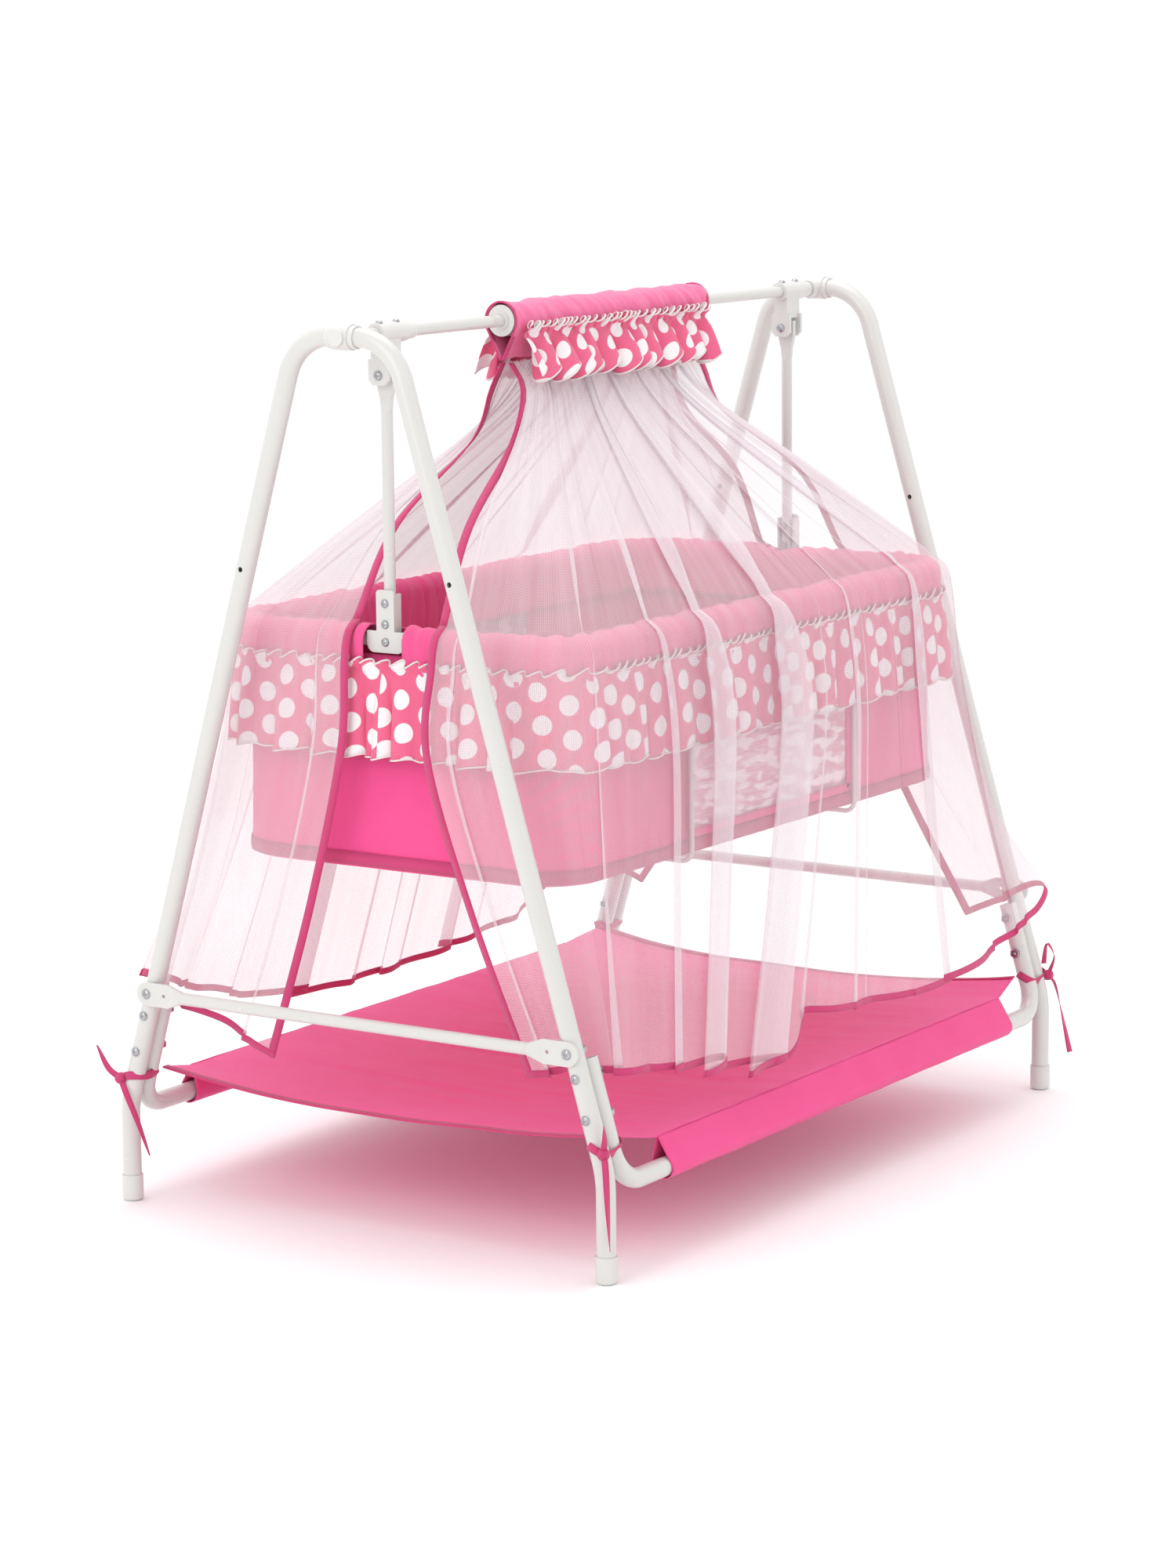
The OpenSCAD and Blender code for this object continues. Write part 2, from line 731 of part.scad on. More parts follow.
// A ribbon tied round a leg and the rail beside it, with its knot and one hanging end.
module tie(end, side) {
    tie_h = side_rail_h + 40;
    ring_h = 9;
    half_pitch = (leg_d + 0.5) / 2;
    ring_r = leg_d / 2 + 1.9;
    knot_r = 6;
    tail = [2, 8, 90];
    color(dark_pink) at_end(end) at_side(side)
        translate([-frame_x + half_pitch, -leg_y(tie_h), tie_h]) {
            rotate([-leg_lean, 0, 0]) translate([0, 0, -ring_h / 2]) linear_extrude(ring_h)
                difference() {
                    tie_outline(half_pitch, ring_r);
                    tie_outline(half_pitch, leg_d / 2 + 0.4);
                }
            translate([-half_pitch - 8, -15, 0]) sphere(knot_r);
            translate([-half_pitch - 9, -27, -tail.z]) cube(tail);
        }
}

module tie_outline(half_pitch, r) {
    for (x = [-half_pitch, half_pitch]) translate([x, 0]) circle(r);
    translate([-half_pitch, -r]) square([2 * half_pitch, 2 * r]);
}

leg(-1, -1);  // leg_left_front
leg(-1, 1);  // leg_left_back
leg(1, -1);  // leg_right_front
leg(1, 1);  // leg_right_back
foot_caps();
apex_connector(-1);  // apex_connector_left
apex_connector(1);  // apex_connector_right
top_bar();
stretcher(-1);  // stretcher_left
stretcher(1);  // stretcher_right
stretcher_bolts();
stretcher_nuts();
side_rail(-1);  // side_rail_front
side_rail(1);  // side_rail_back
side_rail_bolts();
side_rail_nuts();
hanger_sleeve(-hanger_x);  // hanger_sleeve_left
hanger_sleeve(hanger_x);  // hanger_sleeve_right
sleeve_screws();
pivot_bolts();
pivot_nuts();
canopy_end_cap(-1);  // canopy_end_cap_left
canopy_end_cap(1);  // canopy_end_cap_right
canopy_core();
canopy_cover();
canopy_ruffle(-1);  // canopy_ruffle_front
canopy_ruffle(1);  // canopy_ruffle_back
net(-1);  // net_front
net(1);  // net_back
storage_sheet();
tie(-1, -1);  // tie_left_front
tie(-1, 1);  // tie_left_back
tie(1, -1);  // tie_right_front
tie(1, 1);  // tie_right_back
hanger_rod(-1);  // hanger_rod_left
hanger_rod(1);  // hanger_rod_right
pivot_bushes();
hanger_bracket(-1);  // hanger_bracket_left
hanger_bracket(1);  // hanger_bracket_right
bracket_screws();
bracket_nuts();
basket_rail();
hoop(-hoop_x);  // hoop_left
hoop(hoop_x);  // hoop_right
base_board();
mattress();
basket_fabric();
window_mesh(-1);  // window_mesh_front
window_mesh(1);  // window_mesh_back
rim_cover();
basket_ruffle();
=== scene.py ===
"""Looks of a swinging baby cradle: cloth, nets, ribbons, screws and finishes on its CAD frame."""

import json
import math

import bmesh
import bpy
import numpy as np
from mathutils import Matrix, Vector, noise


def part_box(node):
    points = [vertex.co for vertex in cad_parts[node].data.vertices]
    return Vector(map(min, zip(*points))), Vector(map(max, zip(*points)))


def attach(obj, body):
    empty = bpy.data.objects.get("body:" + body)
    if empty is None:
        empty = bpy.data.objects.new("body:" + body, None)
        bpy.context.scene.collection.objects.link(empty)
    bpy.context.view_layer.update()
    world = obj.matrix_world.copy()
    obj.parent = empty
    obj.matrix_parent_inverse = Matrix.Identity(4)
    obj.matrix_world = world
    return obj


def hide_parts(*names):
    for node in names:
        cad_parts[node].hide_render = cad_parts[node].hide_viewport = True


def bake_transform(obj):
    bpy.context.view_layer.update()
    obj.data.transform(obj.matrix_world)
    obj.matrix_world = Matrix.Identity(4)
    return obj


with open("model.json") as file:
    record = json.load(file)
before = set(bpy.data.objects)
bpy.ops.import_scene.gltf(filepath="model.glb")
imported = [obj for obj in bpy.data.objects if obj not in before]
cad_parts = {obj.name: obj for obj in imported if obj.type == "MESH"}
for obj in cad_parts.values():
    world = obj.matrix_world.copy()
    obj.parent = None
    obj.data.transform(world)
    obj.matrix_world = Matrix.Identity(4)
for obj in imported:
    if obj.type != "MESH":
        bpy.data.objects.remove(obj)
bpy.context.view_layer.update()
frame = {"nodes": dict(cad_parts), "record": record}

# ---------- places taken from the CAD ----------

rail_low, rail_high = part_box("basket_rail")
RAIL_R = (rail_high.z - rail_low.z) / 2
RAIL_Z = (rail_high.z + rail_low.z) / 2
RAIL_X = rail_high.x - RAIL_R
RAIL_Y = rail_high.y - RAIL_R
CORNER_R = 0.060

bar_low, bar_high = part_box("top_bar")
BAR_Z = (bar_high.z + bar_low.z) / 2
CANOPY_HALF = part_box("canopy_cover")[1].x

TUBE_R = 0.010
# The side rails' straight runs lie this far inside the foot caps' outer faces.
RAIL_INSIDE_CAPS = 0.0083
SIDE_RAIL_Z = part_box("side_rail_front")[0].z + TUBE_R
SIDE_RAIL_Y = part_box("foot_caps")[1].y - RAIL_INSIDE_CAPS
LEG_X = (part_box("leg_right_front")[0].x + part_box("leg_right_front")[1].x) / 2

# ---------- arrays and meshes ----------


def smooth_line(points, count):
    """`count` evenly spaced points on a smooth curve through a short list of points."""
    points = np.array(points, float)
    ends = [2 * points[0] - points[1], *points, 2 * points[-1] - points[-2]]
    curve = []
    for a, b, c, d in zip(ends, ends[1:], ends[2:], ends[3:]):
        for t in np.linspace(0, 1, 24, endpoint=False):
            curve.append(0.5 * (2 * b + (c - a) * t + (2 * a - 5 * b + 4 * c - d) * t * t
                                + (3 * b - a - 3 * c + d) * t ** 3))
    curve.append(points[-1])
    return even_line(curve, count)


def along(points):
    """Distance along a line of points, from its start to each point."""
    steps = np.linalg.norm(np.diff(points, axis=0), axis=1)
    return np.concatenate([[0], np.cumsum(steps)])


def unit(vectors):
    return vectors / np.linalg.norm(vectors, axis=-1, keepdims=True)


def at_height(line, height):
    """Flat points lifted to one height."""
    return np.column_stack([line, np.full(len(line), height)])


def even_line(points, count):
    """`count` evenly spaced points along a line."""
    return at_shares(np.array(points, float), np.linspace(0, 1, count))


def at_shares(points, shares):
    """Points at given shares of a line's length."""
    distance = along(points)
    return np.stack([np.interp(shares * distance[-1], distance, axis) for axis in points.T], 1)


def rounded_loop(half_x, half_y, radius, count):
    """Points and outward normals round a rounded rectangle, from the left end's middle."""
    points, normals = [], []
    for turn in range(4):
        corner = (2 + turn) * math.pi / 2
        side_x = -1 if turn in (0, 3) else 1
        side_y = -1 if turn in (0, 1) else 1
        for angle in np.linspace(corner, corner + math.pi / 2, 25):
            normal = (math.cos(angle), math.sin(angle))
            points.append((side_x * (half_x - radius) + radius * normal[0],
                           side_y * (half_y - radius) + radius * normal[1]))
            normals.append(normal)
    start = (-half_x, 0.0)
    points = np.array([start, *points, start])
    normals = np.array([(-1.0, 0.0), *normals, (-1.0, 0.0)])
    distance = along(points)
    wanted = np.linspace(0, distance[-1], count, endpoint=False)
    at = [np.interp(wanted, distance, line) for line in (*points.T, *normals.T)]
    return np.stack(at[:2], 1), np.stack(at[2:], 1)


def folds(count, columns, seed, closed=False):
    """Two waves of uneven folds: how far out the cloth stands, and how far it leans along."""
    rng = np.random.default_rng(seed)
    edges = np.concatenate([[0], np.cumsum(rng.uniform(0.6, 1.5, count))])
    heights = rng.uniform(0.5, 1.0, count + 1)
    heights[-1] = heights[0]
    at = np.linspace(0, edges[-1], columns, endpoint=not closed)
    phase = 2 * math.pi * np.interp(at, edges, np.arange(count + 1))
    height = np.interp(at, edges, heights)
    return height * np.cos(phase), height * np.sin(phase)


def wrinkle(points, scale, seed=0.0):
    """Smooth noise from -1 to 1 at each point, with its own scale along each axis."""
    shape = points.shape[:-1]
    at = points.reshape(-1, 3) * np.array(scale) + seed
    return np.array([noise.noise(Vector(p)) for p in at]).reshape(shape)


def grid_object(name, points, material, closed=False, keep=None, flat_width=None):
    """A sheet from rows and columns of points. Its UV map is in metres of cloth."""
    rows, columns = points.shape[:2]
    across = columns if closed else columns - 1
    faces, uvs = [], []
    middle = points[rows // 2]
    u = along(np.vstack([middle, middle[:1]]) if closed else middle)
    if flat_width:
        u = u * flat_width / u[-1]
    v = along(points[::-1, columns // 2])[::-1]
    for j in range(rows - 1):
        for i in range(across):
            if keep is not None and not keep[j, i]:
                continue
            right = (i + 1) % columns
            faces.append((j * columns + i, (j + 1) * columns + i,
                          (j + 1) * columns + right, j * columns + right))
            uvs += [(u[i], v[j]), (u[i], v[j + 1]), (u[i + 1], v[j + 1]), (u[i + 1], v[j])]
    mesh = bpy.data.meshes.new(name)
    mesh.from_pydata([tuple(p) for p in points.reshape(-1, 3)], [], faces)
    layer = mesh.uv_layers.new(name="cloth")
    layer.data.foreach_set("uv", np.array(uvs, np.float32).ravel())
    mesh.polygons.foreach_set("use_smooth", [True] * len(faces))
    mesh.materials.append(material)
    piece = add_object(name, mesh)
    drop_loose_points(piece)
    return piece


def drop_loose_points(piece):
    used = np.zeros(len(piece.data.vertices), bool)
    for face in piece.data.polygons:
        used[list(face.vertices)] = True
    if used.all():
        return
    mesh = bmesh.new()
    mesh.from_mesh(piece.data)
    mesh.verts.ensure_lookup_table()
    loose = [vertex for vertex in mesh.verts if not used[vertex.index]]
    bmesh.ops.delete(mesh, geom=loose, context="VERTS")
    mesh.to_mesh(piece.data)
    mesh.free()


def add_object(name, data):
    made = bpy.data.objects.new(name, data)
    bpy.context.scene.collection.objects.link(made)
    return made


def evaluated_mesh(piece):
    """A mesh of the object with its modifiers or its curve's bevel applied."""
    bpy.context.view_layer.update()
    graph = bpy.context.evaluated_depsgraph_get()
    return bpy.data.meshes.new_from_object(piece.evaluated_get(graph))


def thicken(piece, thickness, offset=0.0):
    """Gives a sheet its thickness, as closed cloth."""
    modifier = piece.modifiers.new("thickness", "SOLIDIFY")
    modifier.thickness = thickness
    modifier.offset = offset
    mesh = evaluated_mesh(piece)
    piece.modifiers.clear()
    piece.data = mesh
    return piece


def cord_mesh(name, points, radius, material, closed=False):
    """A thread along a line of points."""
    curve = bpy.data.curves.new(name, "CURVE")
    curve.dimensions = "3D"
    curve.bevel_depth = radius
    curve.bevel_resolution = 2
    spline = curve.splines.new("POLY")
    spline.points.add(len(points) - 1)
    for target, point in zip(spline.points, points):
        target.co = (*point, 1)
    spline.use_cyclic_u = closed
    holder = add_object(name, curve)
    mesh = evaluated_mesh(holder)
    bpy.data.objects.remove(holder)
    mesh.materials.clear()
    mesh.materials.append(material)
    mesh.polygons.foreach_set("use_smooth", [True] * len(mesh.polygons))
    return add_object(name, mesh)


def join(name, pieces):
    """One object from several."""
    whole = bmesh.new()
    for piece in pieces:
        whole.from_mesh(piece.data)
    mesh = bpy.data.meshes.new(name)
    whole.to_mesh(mesh)
    whole.free()
    for material in pieces[0].data.materials:
        mesh.materials.append(material)
    for piece in pieces:
        bpy.data.objects.remove(piece)
    return add_object(name, mesh)


def ribbon_strip(name, line, across, width, material, thickness=0.0007):
    """A ribbon along a line; across is the direction of its width, at each point or for all."""
    half = np.broadcast_to(across, np.shape(line)) * width / 2
    return thicken(grid_object(name, np.stack([line - half, line, line + half]), material),
                   thickness)


def dress(piece, body, node=None):
    """Says which body a piece moves with and the CAD node it stands for."""
    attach(piece, body)
    if node:
        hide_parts(node)
    return piece


# ---------- materials ----------


def math_node(tree, operation, *values):
    node = tree.nodes.new("ShaderNodeMath")
    node.operation = operation
    for socket, value in zip(node.inputs, values):
        if isinstance(value, (int, float)):
            socket.default_value = value
        else:
            tree.links.new(value, socket)
    return node.outputs[0]


def uv_socket(tree):
    return tree.nodes.new("ShaderNodeUVMap").outputs[0]


def noise_socket(tree, scale, detail=3.0, stretch=(1, 1, 1), source="Object"):
    coordinates = tree.nodes.new("ShaderNodeTexCoord").outputs[source]
    mapping = tree.nodes.new("ShaderNodeMapping")
    mapping.inputs["Scale"].default_value = stretch
    texture = tree.nodes.new("ShaderNodeTexNoise")
    texture.inputs["Scale"].default_value = scale
    texture.inputs["Detail"].default_value = detail
    tree.links.new(coordinates, mapping.inputs["Vector"])
    tree.links.new(mapping.outputs[0], texture.inputs["Vector"])
    return texture.outputs["Fac"]


def mix_colours(tree, factor, first, second):
    node = tree.nodes.new("ShaderNodeMix")
    node.data_type = "RGBA"
    colour_inputs = [socket for socket in node.inputs if socket.type == "RGBA"]
    for socket, value in zip(colour_inputs, (first, second)):
        if isinstance(value, tuple):
            socket.default_value = (*value, 1)
        else:
            tree.links.new(value, socket)
    tree.links.new(factor, node.inputs[0])
    return [socket for socket in node.outputs if socket.type == "RGBA"][0]


def add_bump(tree, shader, height, strength, distance):
    bump = tree.nodes.new("ShaderNodeBump")
    bump.inputs["Strength"].default_value = strength
    bump.inputs["Distance"].default_value = distance
    tree.links.new(height, bump.inputs["Height"])
    tree.links.new(bump.outputs[0], shader.inputs["Normal"])


def new_material(name, roughness, metallic=0.0):
    material = bpy.data.materials.new(name)
    material.use_nodes = True
    tree = material.node_tree
    shader = tree.nodes["Principled BSDF"]
    shader.inputs["Roughness"].default_value = roughness
    shader.inputs["Metallic"].default_value = metallic
    return material, tree, shader


def set_colour(tree, shader, colour):
    tree.links.new(colour, shader.inputs["Base Color"])


def vary(tree, shader, colour, other, scale, stretch=(1, 1, 1)):
    """Lets the surface's colour wander between two close colours."""
    shader.inputs["Base Color"].default_value = (*colour, 1)
    wander = noise_socket(tree, scale, 3.0, stretch)
    set_colour(tree, shader, mix_colours(tree, wander, colour, other))


def hard_material(name, colour, other, scale, roughness, grain, metallic=0.0, stretch=(1, 1, 1)):
    """A colour that wanders a little over a fine grain. The grain is its scale, detail, strength
    and height; a pair of roughnesses with a scale wanders too."""
    material, tree, shader = new_material(name, roughness[0], metallic)
    vary(tree, shader, colour, other, scale, stretch)
    if len(roughness) == 3:
        low, high, patches = roughness
        spread = math_node(tree, "MULTIPLY_ADD", noise_socket(tree, patches), high - low, low)
        tree.links.new(spread, shader.inputs["Roughness"])
    grain_scale, detail, strength, height = grain
    add_bump(tree, shader, noise_socket(tree, grain_scale, detail), strength, height)
    return material


def paint_material():
    """Thick glossy powder coat with a faint orange peel."""
    material = hard_material("white_powder_coat", (0.65, 0.64, 0.62), (0.62, 0.61, 0.59), 9,
                             (0.22, 0.30, 25), (300, 1.0, 0.06, 0.0002))
    shader = material.node_tree.nodes["Principled BSDF"]
    shader.inputs["Coat Weight"].default_value = 0.4
    shader.inputs["Coat Roughness"].default_value = 0.10
    return material


def clamp_socket(tree, value):
    clamp = tree.nodes.new("ShaderNodeClamp")
    tree.links.new(value, clamp.inputs[0])
    return clamp.outputs[0]


def split_uv(tree):
    separate = tree.nodes.new("ShaderNodeSeparateXYZ")
    tree.links.new(uv_socket(tree), separate.inputs[0])
    return separate.outputs[0], separate.outputs[1]


def thread_waves(tree, distances, pitch):
    """The product of two sets of threads, each a sine of its distance across them."""
    rate = 2 * math.pi / pitch
    waves = [math_node(tree, "SINE", math_node(tree, "MULTIPLY", distance, rate))
             for distance in distances]
    return math_node(tree, "MULTIPLY", *waves)


def weave_height(tree, pitch):
    """Warp and weft threads as a height, from the UV map in metres."""
    return thread_waves(tree, split_uv(tree), pitch)


def diagonal_weave(tree, pitch):
    """A diagonal lattice as a height, from the UV map in metres."""
    u, v = split_uv(tree)
    diagonals = [math_node(tree, direction, u, v) for direction in ("ADD", "SUBTRACT")]
    return thread_waves(tree, diagonals, pitch)


def cloth_material(name, colour, shade, pitch=0.0009, sheen=0.25, pucker=0.0):
    """Woven cloth: threads, fine creases and a colour that wanders a little. Puckered cloth
    also has narrow wrinkles across its length."""
    material, tree, shader = new_material(name, 0.68)
    vary(tree, shader, colour, shade, 24)
    shader.inputs["Sheen Weight"].default_value = sheen
    shader.inputs["Sheen Roughness"].default_value = 0.4
    creases = noise_socket(tree, 140, 4.0)
    height = math_node(tree, "MULTIPLY_ADD", weave_height(tree, pitch), 0.25, creases)
    if pucker:
        wrinkles = noise_socket(tree, 85, 2.0, (1, 0.14, 1), "UV")
        height = math_node(tree, "MULTIPLY_ADD", wrinkles, pucker, height)
    add_bump(tree, shader, height, 0.5, 0.0007)
    return material


def dot_mask(tree, pitch, radius, turn=0.0):
    """White dots in staggered rows, from the UV map in metres."""
    row_share = 0.86  # the rows' spacing as a share of the dots' pitch
    soft_edge = 0.0008
    mapping = tree.nodes.new("ShaderNodeMapping")
    mapping.inputs["Rotation"].default_value = (0, 0, math.radians(turn))
    mapping.inputs["Location"].default_value = (1, 1, 0)
    tree.links.new(uv_socket(tree), mapping.inputs["Vector"])
    separate = tree.nodes.new("ShaderNodeSeparateXYZ")
    tree.links.new(mapping.outputs[0], separate.inputs[0])
    u = math_node(tree, "DIVIDE", separate.outputs[0], pitch)
    v = math_node(tree, "DIVIDE", separate.outputs[1], pitch * row_share)
    row = math_node(tree, "FLOOR", v)
    shift = math_node(tree, "MULTIPLY", math_node(tree, "MODULO", row, 2.0), 0.5)
    x = math_node(tree, "SUBTRACT", math_node(tree, "FRACT", math_node(tree, "ADD", u, shift)), 0.5)
    y = math_node(tree, "SUBTRACT", math_node(tree, "FRACT", v), 0.5)
    y = math_node(tree, "MULTIPLY", y, row_share)
    square = math_node(tree, "MULTIPLY_ADD", x, x, math_node(tree, "MULTIPLY", y, y))
    distance = math_node(tree, "SQRT", square)
    edge = math_node(tree, "SUBTRACT", radius / pitch, distance)
    return clamp_socket(tree, math_node(tree, "MULTIPLY", edge, pitch / soft_edge))


def printed_cloth(name, colour, shade, mark, mark_colour):
    """Cloth with a pattern in a second colour; mark makes the pattern's mask."""
    material = cloth_material(name, colour, shade)
    tree = material.node_tree
    shader = tree.nodes["Principled BSDF"]
    plain = shader.inputs["Base Color"].links[0].from_socket
    set_colour(tree, shader, mix_colours(tree, mark(tree), plain, mark_colour))
    return material


def dotted_material():
    """Pink cloth with white dots."""
    return printed_cloth("dotted_pink_cloth", (0.82, 0.13, 0.26), (0.75, 0.10, 0.22),
                         lambda tree: dot_mask(tree, 0.034, 0.0105, 24), (0.88, 0.84, 0.85))


def net_material():
    """Fine knitted net. Its cover comes from how closely the cloth is gathered."""
    material, tree, shader = new_material("knitted_net", 0.75)
    vary(tree, shader, (0.85, 0.77, 0.81), (0.81, 0.73, 0.77), 12)
    cover = tree.nodes.new("ShaderNodeAttribute")
    cover.attribute_name = "cover"
    threads = math_node(tree, "MULTIPLY_ADD", diagonal_weave(tree, 0.0036), 0.30, 1.0)
    streaks = noise_socket(tree, 60, 2.0, (1, 0.06, 1), "UV")
    streaks = math_node(tree, "MULTIPLY_ADD", streaks, 0.5, 0.75)
    alpha = math_node(tree, "MULTIPLY", cover.outputs["Fac"], threads)
    tree.links.new(math_node(tree, "MULTIPLY", alpha, streaks), shader.inputs["Alpha"])
    add_bump(tree, shader, diagonal_weave(tree, 0.0018), 0.2, 0.0003)
    return material


def brush_strokes(tree, scale, stretch, source="Object"):
    """Loose soft-edged strokes, as long across the cloth as its stretch makes them."""
    middle, softness = 0.48, 0.09
    stroke = noise_socket(tree, scale, 1.5, stretch, source)
    height = math_node(tree, "DIVIDE", math_node(tree, "SUBTRACT", stroke, middle), softness)
    return clamp_socket(tree, height)


def window_material():
    """Stiffer mesh with round holes in staggered rows and loose white strokes on it."""
    material, tree, shader = new_material("window_mesh_cloth", 0.6)
    strokes = brush_strokes(tree, 75, (0.45, 1.25, 1), "UV")
    pink = mix_colours(tree, noise_socket(tree, 20), (0.90, 0.60, 0.69), (0.85, 0.53, 0.63))
    colour = mix_colours(tree, strokes, pink, (0.93, 0.83, 0.86))
    set_colour(tree, shader, colour)
    threads = math_node(tree, "SUBTRACT", 1.0, dot_mask(tree, 0.0042, 0.0013))
    alpha = math_node(tree, "MULTIPLY_ADD", threads, 0.38, 0.20)
    alpha = math_node(tree, "MULTIPLY_ADD", strokes, 0.38, alpha)
    tree.links.new(alpha, shader.inputs["Alpha"])
    return material


def print_material():
    """Mattress print: pink cloth with loose white brush strokes."""
    return printed_cloth("mattress_print", (0.86, 0.20, 0.36), (0.80, 0.16, 0.31),
                         lambda tree: brush_strokes(tree, 40, (1, 2.6, 1)), (0.90, 0.80, 0.84))


PAINT = paint_material()
PLASTIC = hard_material("white_plastic", (0.69, 0.68, 0.665), (0.65, 0.64, 0.62), 30,
                        (0.28, 0.45, 90), (900, 2.0, 0.08, 0.0003))
ZINC = hard_material("zinc_plate", (0.50, 0.51, 0.53), (0.38, 0.38, 0.40), 220,
                     (0.16, 0.38, 300), (1500, 2.0, 0.1, 0.0002), metallic=1.0)
BOARD = hard_material("pressed_board", (0.48, 0.33, 0.19), (0.38, 0.25, 0.14), 160, (0.7,),
                      (700, 3.0, 0.3, 0.0005), stretch=(1, 4, 4))
CARD = hard_material("core_card", (0.77, 0.71, 0.63), (0.68, 0.61, 0.52), 90, (0.8,),
                     (500, 3.0, 0.2, 0.0004), stretch=(1, 6, 6))
PINK = cloth_material("hot_pink_cloth", (0.90, 0.080, 0.30), (0.83, 0.060, 0.25), sheen=0.12)
PUFFED = cloth_material("puffed_pink_cloth", (0.86, 0.09, 0.29), (0.79, 0.07, 0.24), pucker=7.0)
# A brighter copy of the hot pink cloth, for the storage panel only: painted light that makes up for
# the shade the basket and nets cast on the panel.
SHEET_PAINTED_LIGHT = cloth_material("storage_pink_cloth_painted_light", (0.98, 0.115, 0.38), (0.92, 0.095, 0.33), sheen=0.12)
ROSE = cloth_material("rose_pink_cloth", (0.86, 0.17, 0.36), (0.80, 0.13, 0.31), sheen=0.35,
                      pucker=4.0)
BINDING = cloth_material("binding_tape", (0.66, 0.045, 0.19), (0.56, 0.035, 0.15), 0.0006)
DOTTED = dotted_material()
THREAD = cloth_material("overlock_thread", (0.88, 0.80, 0.78), (0.80, 0.70, 0.69), 0.0012)
NET = net_material()
WINDOW = window_material()
PRINT = print_material()


def finish_cad_nodes():
    """The CAD pieces that keep their shape get their finish."""
    for name, node in frame["nodes"].items():
        if name.endswith(("nuts", "bolts", "screws")):
            material = ZINC
        elif name.startswith(("apex", "hanger_sleeve", "canopy_end_cap", "foot", "pivot_bush")):
            material = PLASTIC
        elif name == "base_board":
            material = BOARD
        elif name == "canopy_core":
            material = CARD
        else:
            material = PAINT
        for slot in node.material_slots:
            slot.material = material


# ---------- screws ----------


def islands(name):
    """Lowest and highest corner of each separate solid in a CAD node."""
    mesh = frame["nodes"][name].data
    parent = list(range(len(mesh.vertices)))

    def root(i):
        while parent[i] != i:
            parent[i] = parent[parent[i]]
            i = parent[i]
        return i

    places = {}
    for vertex in mesh.vertices:
        key = tuple(round(c, 6) for c in vertex.co)
        parent[root(vertex.index)] = root(places.setdefault(key, vertex.index))
    for a, b in (edge.vertices for edge in mesh.edges):
        parent[root(a)] = root(b)
    groups = {}
    for vertex in mesh.vertices:
        groups.setdefault(root(vertex.index), []).append(vertex.co)
    return [(np.min(g, 0), np.max(g, 0)) for g in (np.array(g) for g in groups.values())]


def screw_points(head_r, head_h, shank_r, length):
    """Rows of points of a screw along -Z, with a cross recess in its domed head."""
    sides = 64
    recess_reach, recess_half, recess_depth = 0.55, 0.13 * head_r, 0.5 * head_h
    turns = np.linspace(0, 2 * math.pi, sides, endpoint=False)
    rows = []
    for share in np.linspace(0.02, 1, 20):
        x, y = head_r * share * np.cos(turns), head_r * share * np.sin(turns)
        dome = head_h * np.sqrt(np.maximum(1 - share ** 2.4, 0))
        recess = (np.minimum(np.abs(x), np.abs(y)) < recess_half) & (share < recess_reach)
        rows.append(np.stack([x, y, np.where(recess, dome - recess_depth, dome)], 1))
    for radius, z in ((head_r, 0), (shank_r, 0), (shank_r, -length), (0.0001, -length)):
        rows.append(np.stack([radius * np.cos(turns), radius * np.sin(turns),
                              np.full(sides, z)], 1))
    return np.array(rows)


def screws(node, outward):
    """Replaces a node of plain bolts with screws that have a cross recess."""
    pieces = []
    for low, high in islands(node):
        centre = (low + high) / 2
        axis = np.array(outward(centre), float)
        k = int(np.argmax(np.abs(axis)))
        head_r = max(np.delete(high - low, k)) / 2
        head_h = 0.62 * head_r
        tip = centre.copy()
        tip[k] = (high if axis[k] > 0 else low)[k]
        length = (high - low)[k] - head_h
        turn = Vector((0, 0, 1)).rotation_difference(Vector(axis)).to_matrix()
        points = screw_points(head_r, head_h, 0.42 * head_r, length) @ np.array(turn).T
        points += tip - axis * head_h
        pieces.append(grid_object("screw", points, ZINC, closed=True))
    piece = join(node + "_crossed", pieces)
    body = next(b for b, names in frame["record"]["behaviour"]["bodies"].items() if node in names)
    dress(piece, body, node)


def all_screws():
    def sideways(centre):
        return (math.copysign(1, centre[0]), 0, 0)

    for node in ("stretcher_bolts", "side_rail_bolts", "bracket_screws"):
        screws(node, sideways)
    screws("pivot_bolts", lambda centre: (-1, 0, 0))
    screws("sleeve_screws", lambda centre: (0, 0, 1))


# ---------- basket ----------


def band_round_rail(offsets, heights, count):
    """Rows of points round the basket: each row has its distance out and its height."""
    line, normals = rounded_loop(RAIL_X, RAIL_Y, CORNER_R, count)
    rows = [at_height(line + normals * out, high) for out, high in zip(offsets, heights)]
    return np.array(rows), normals


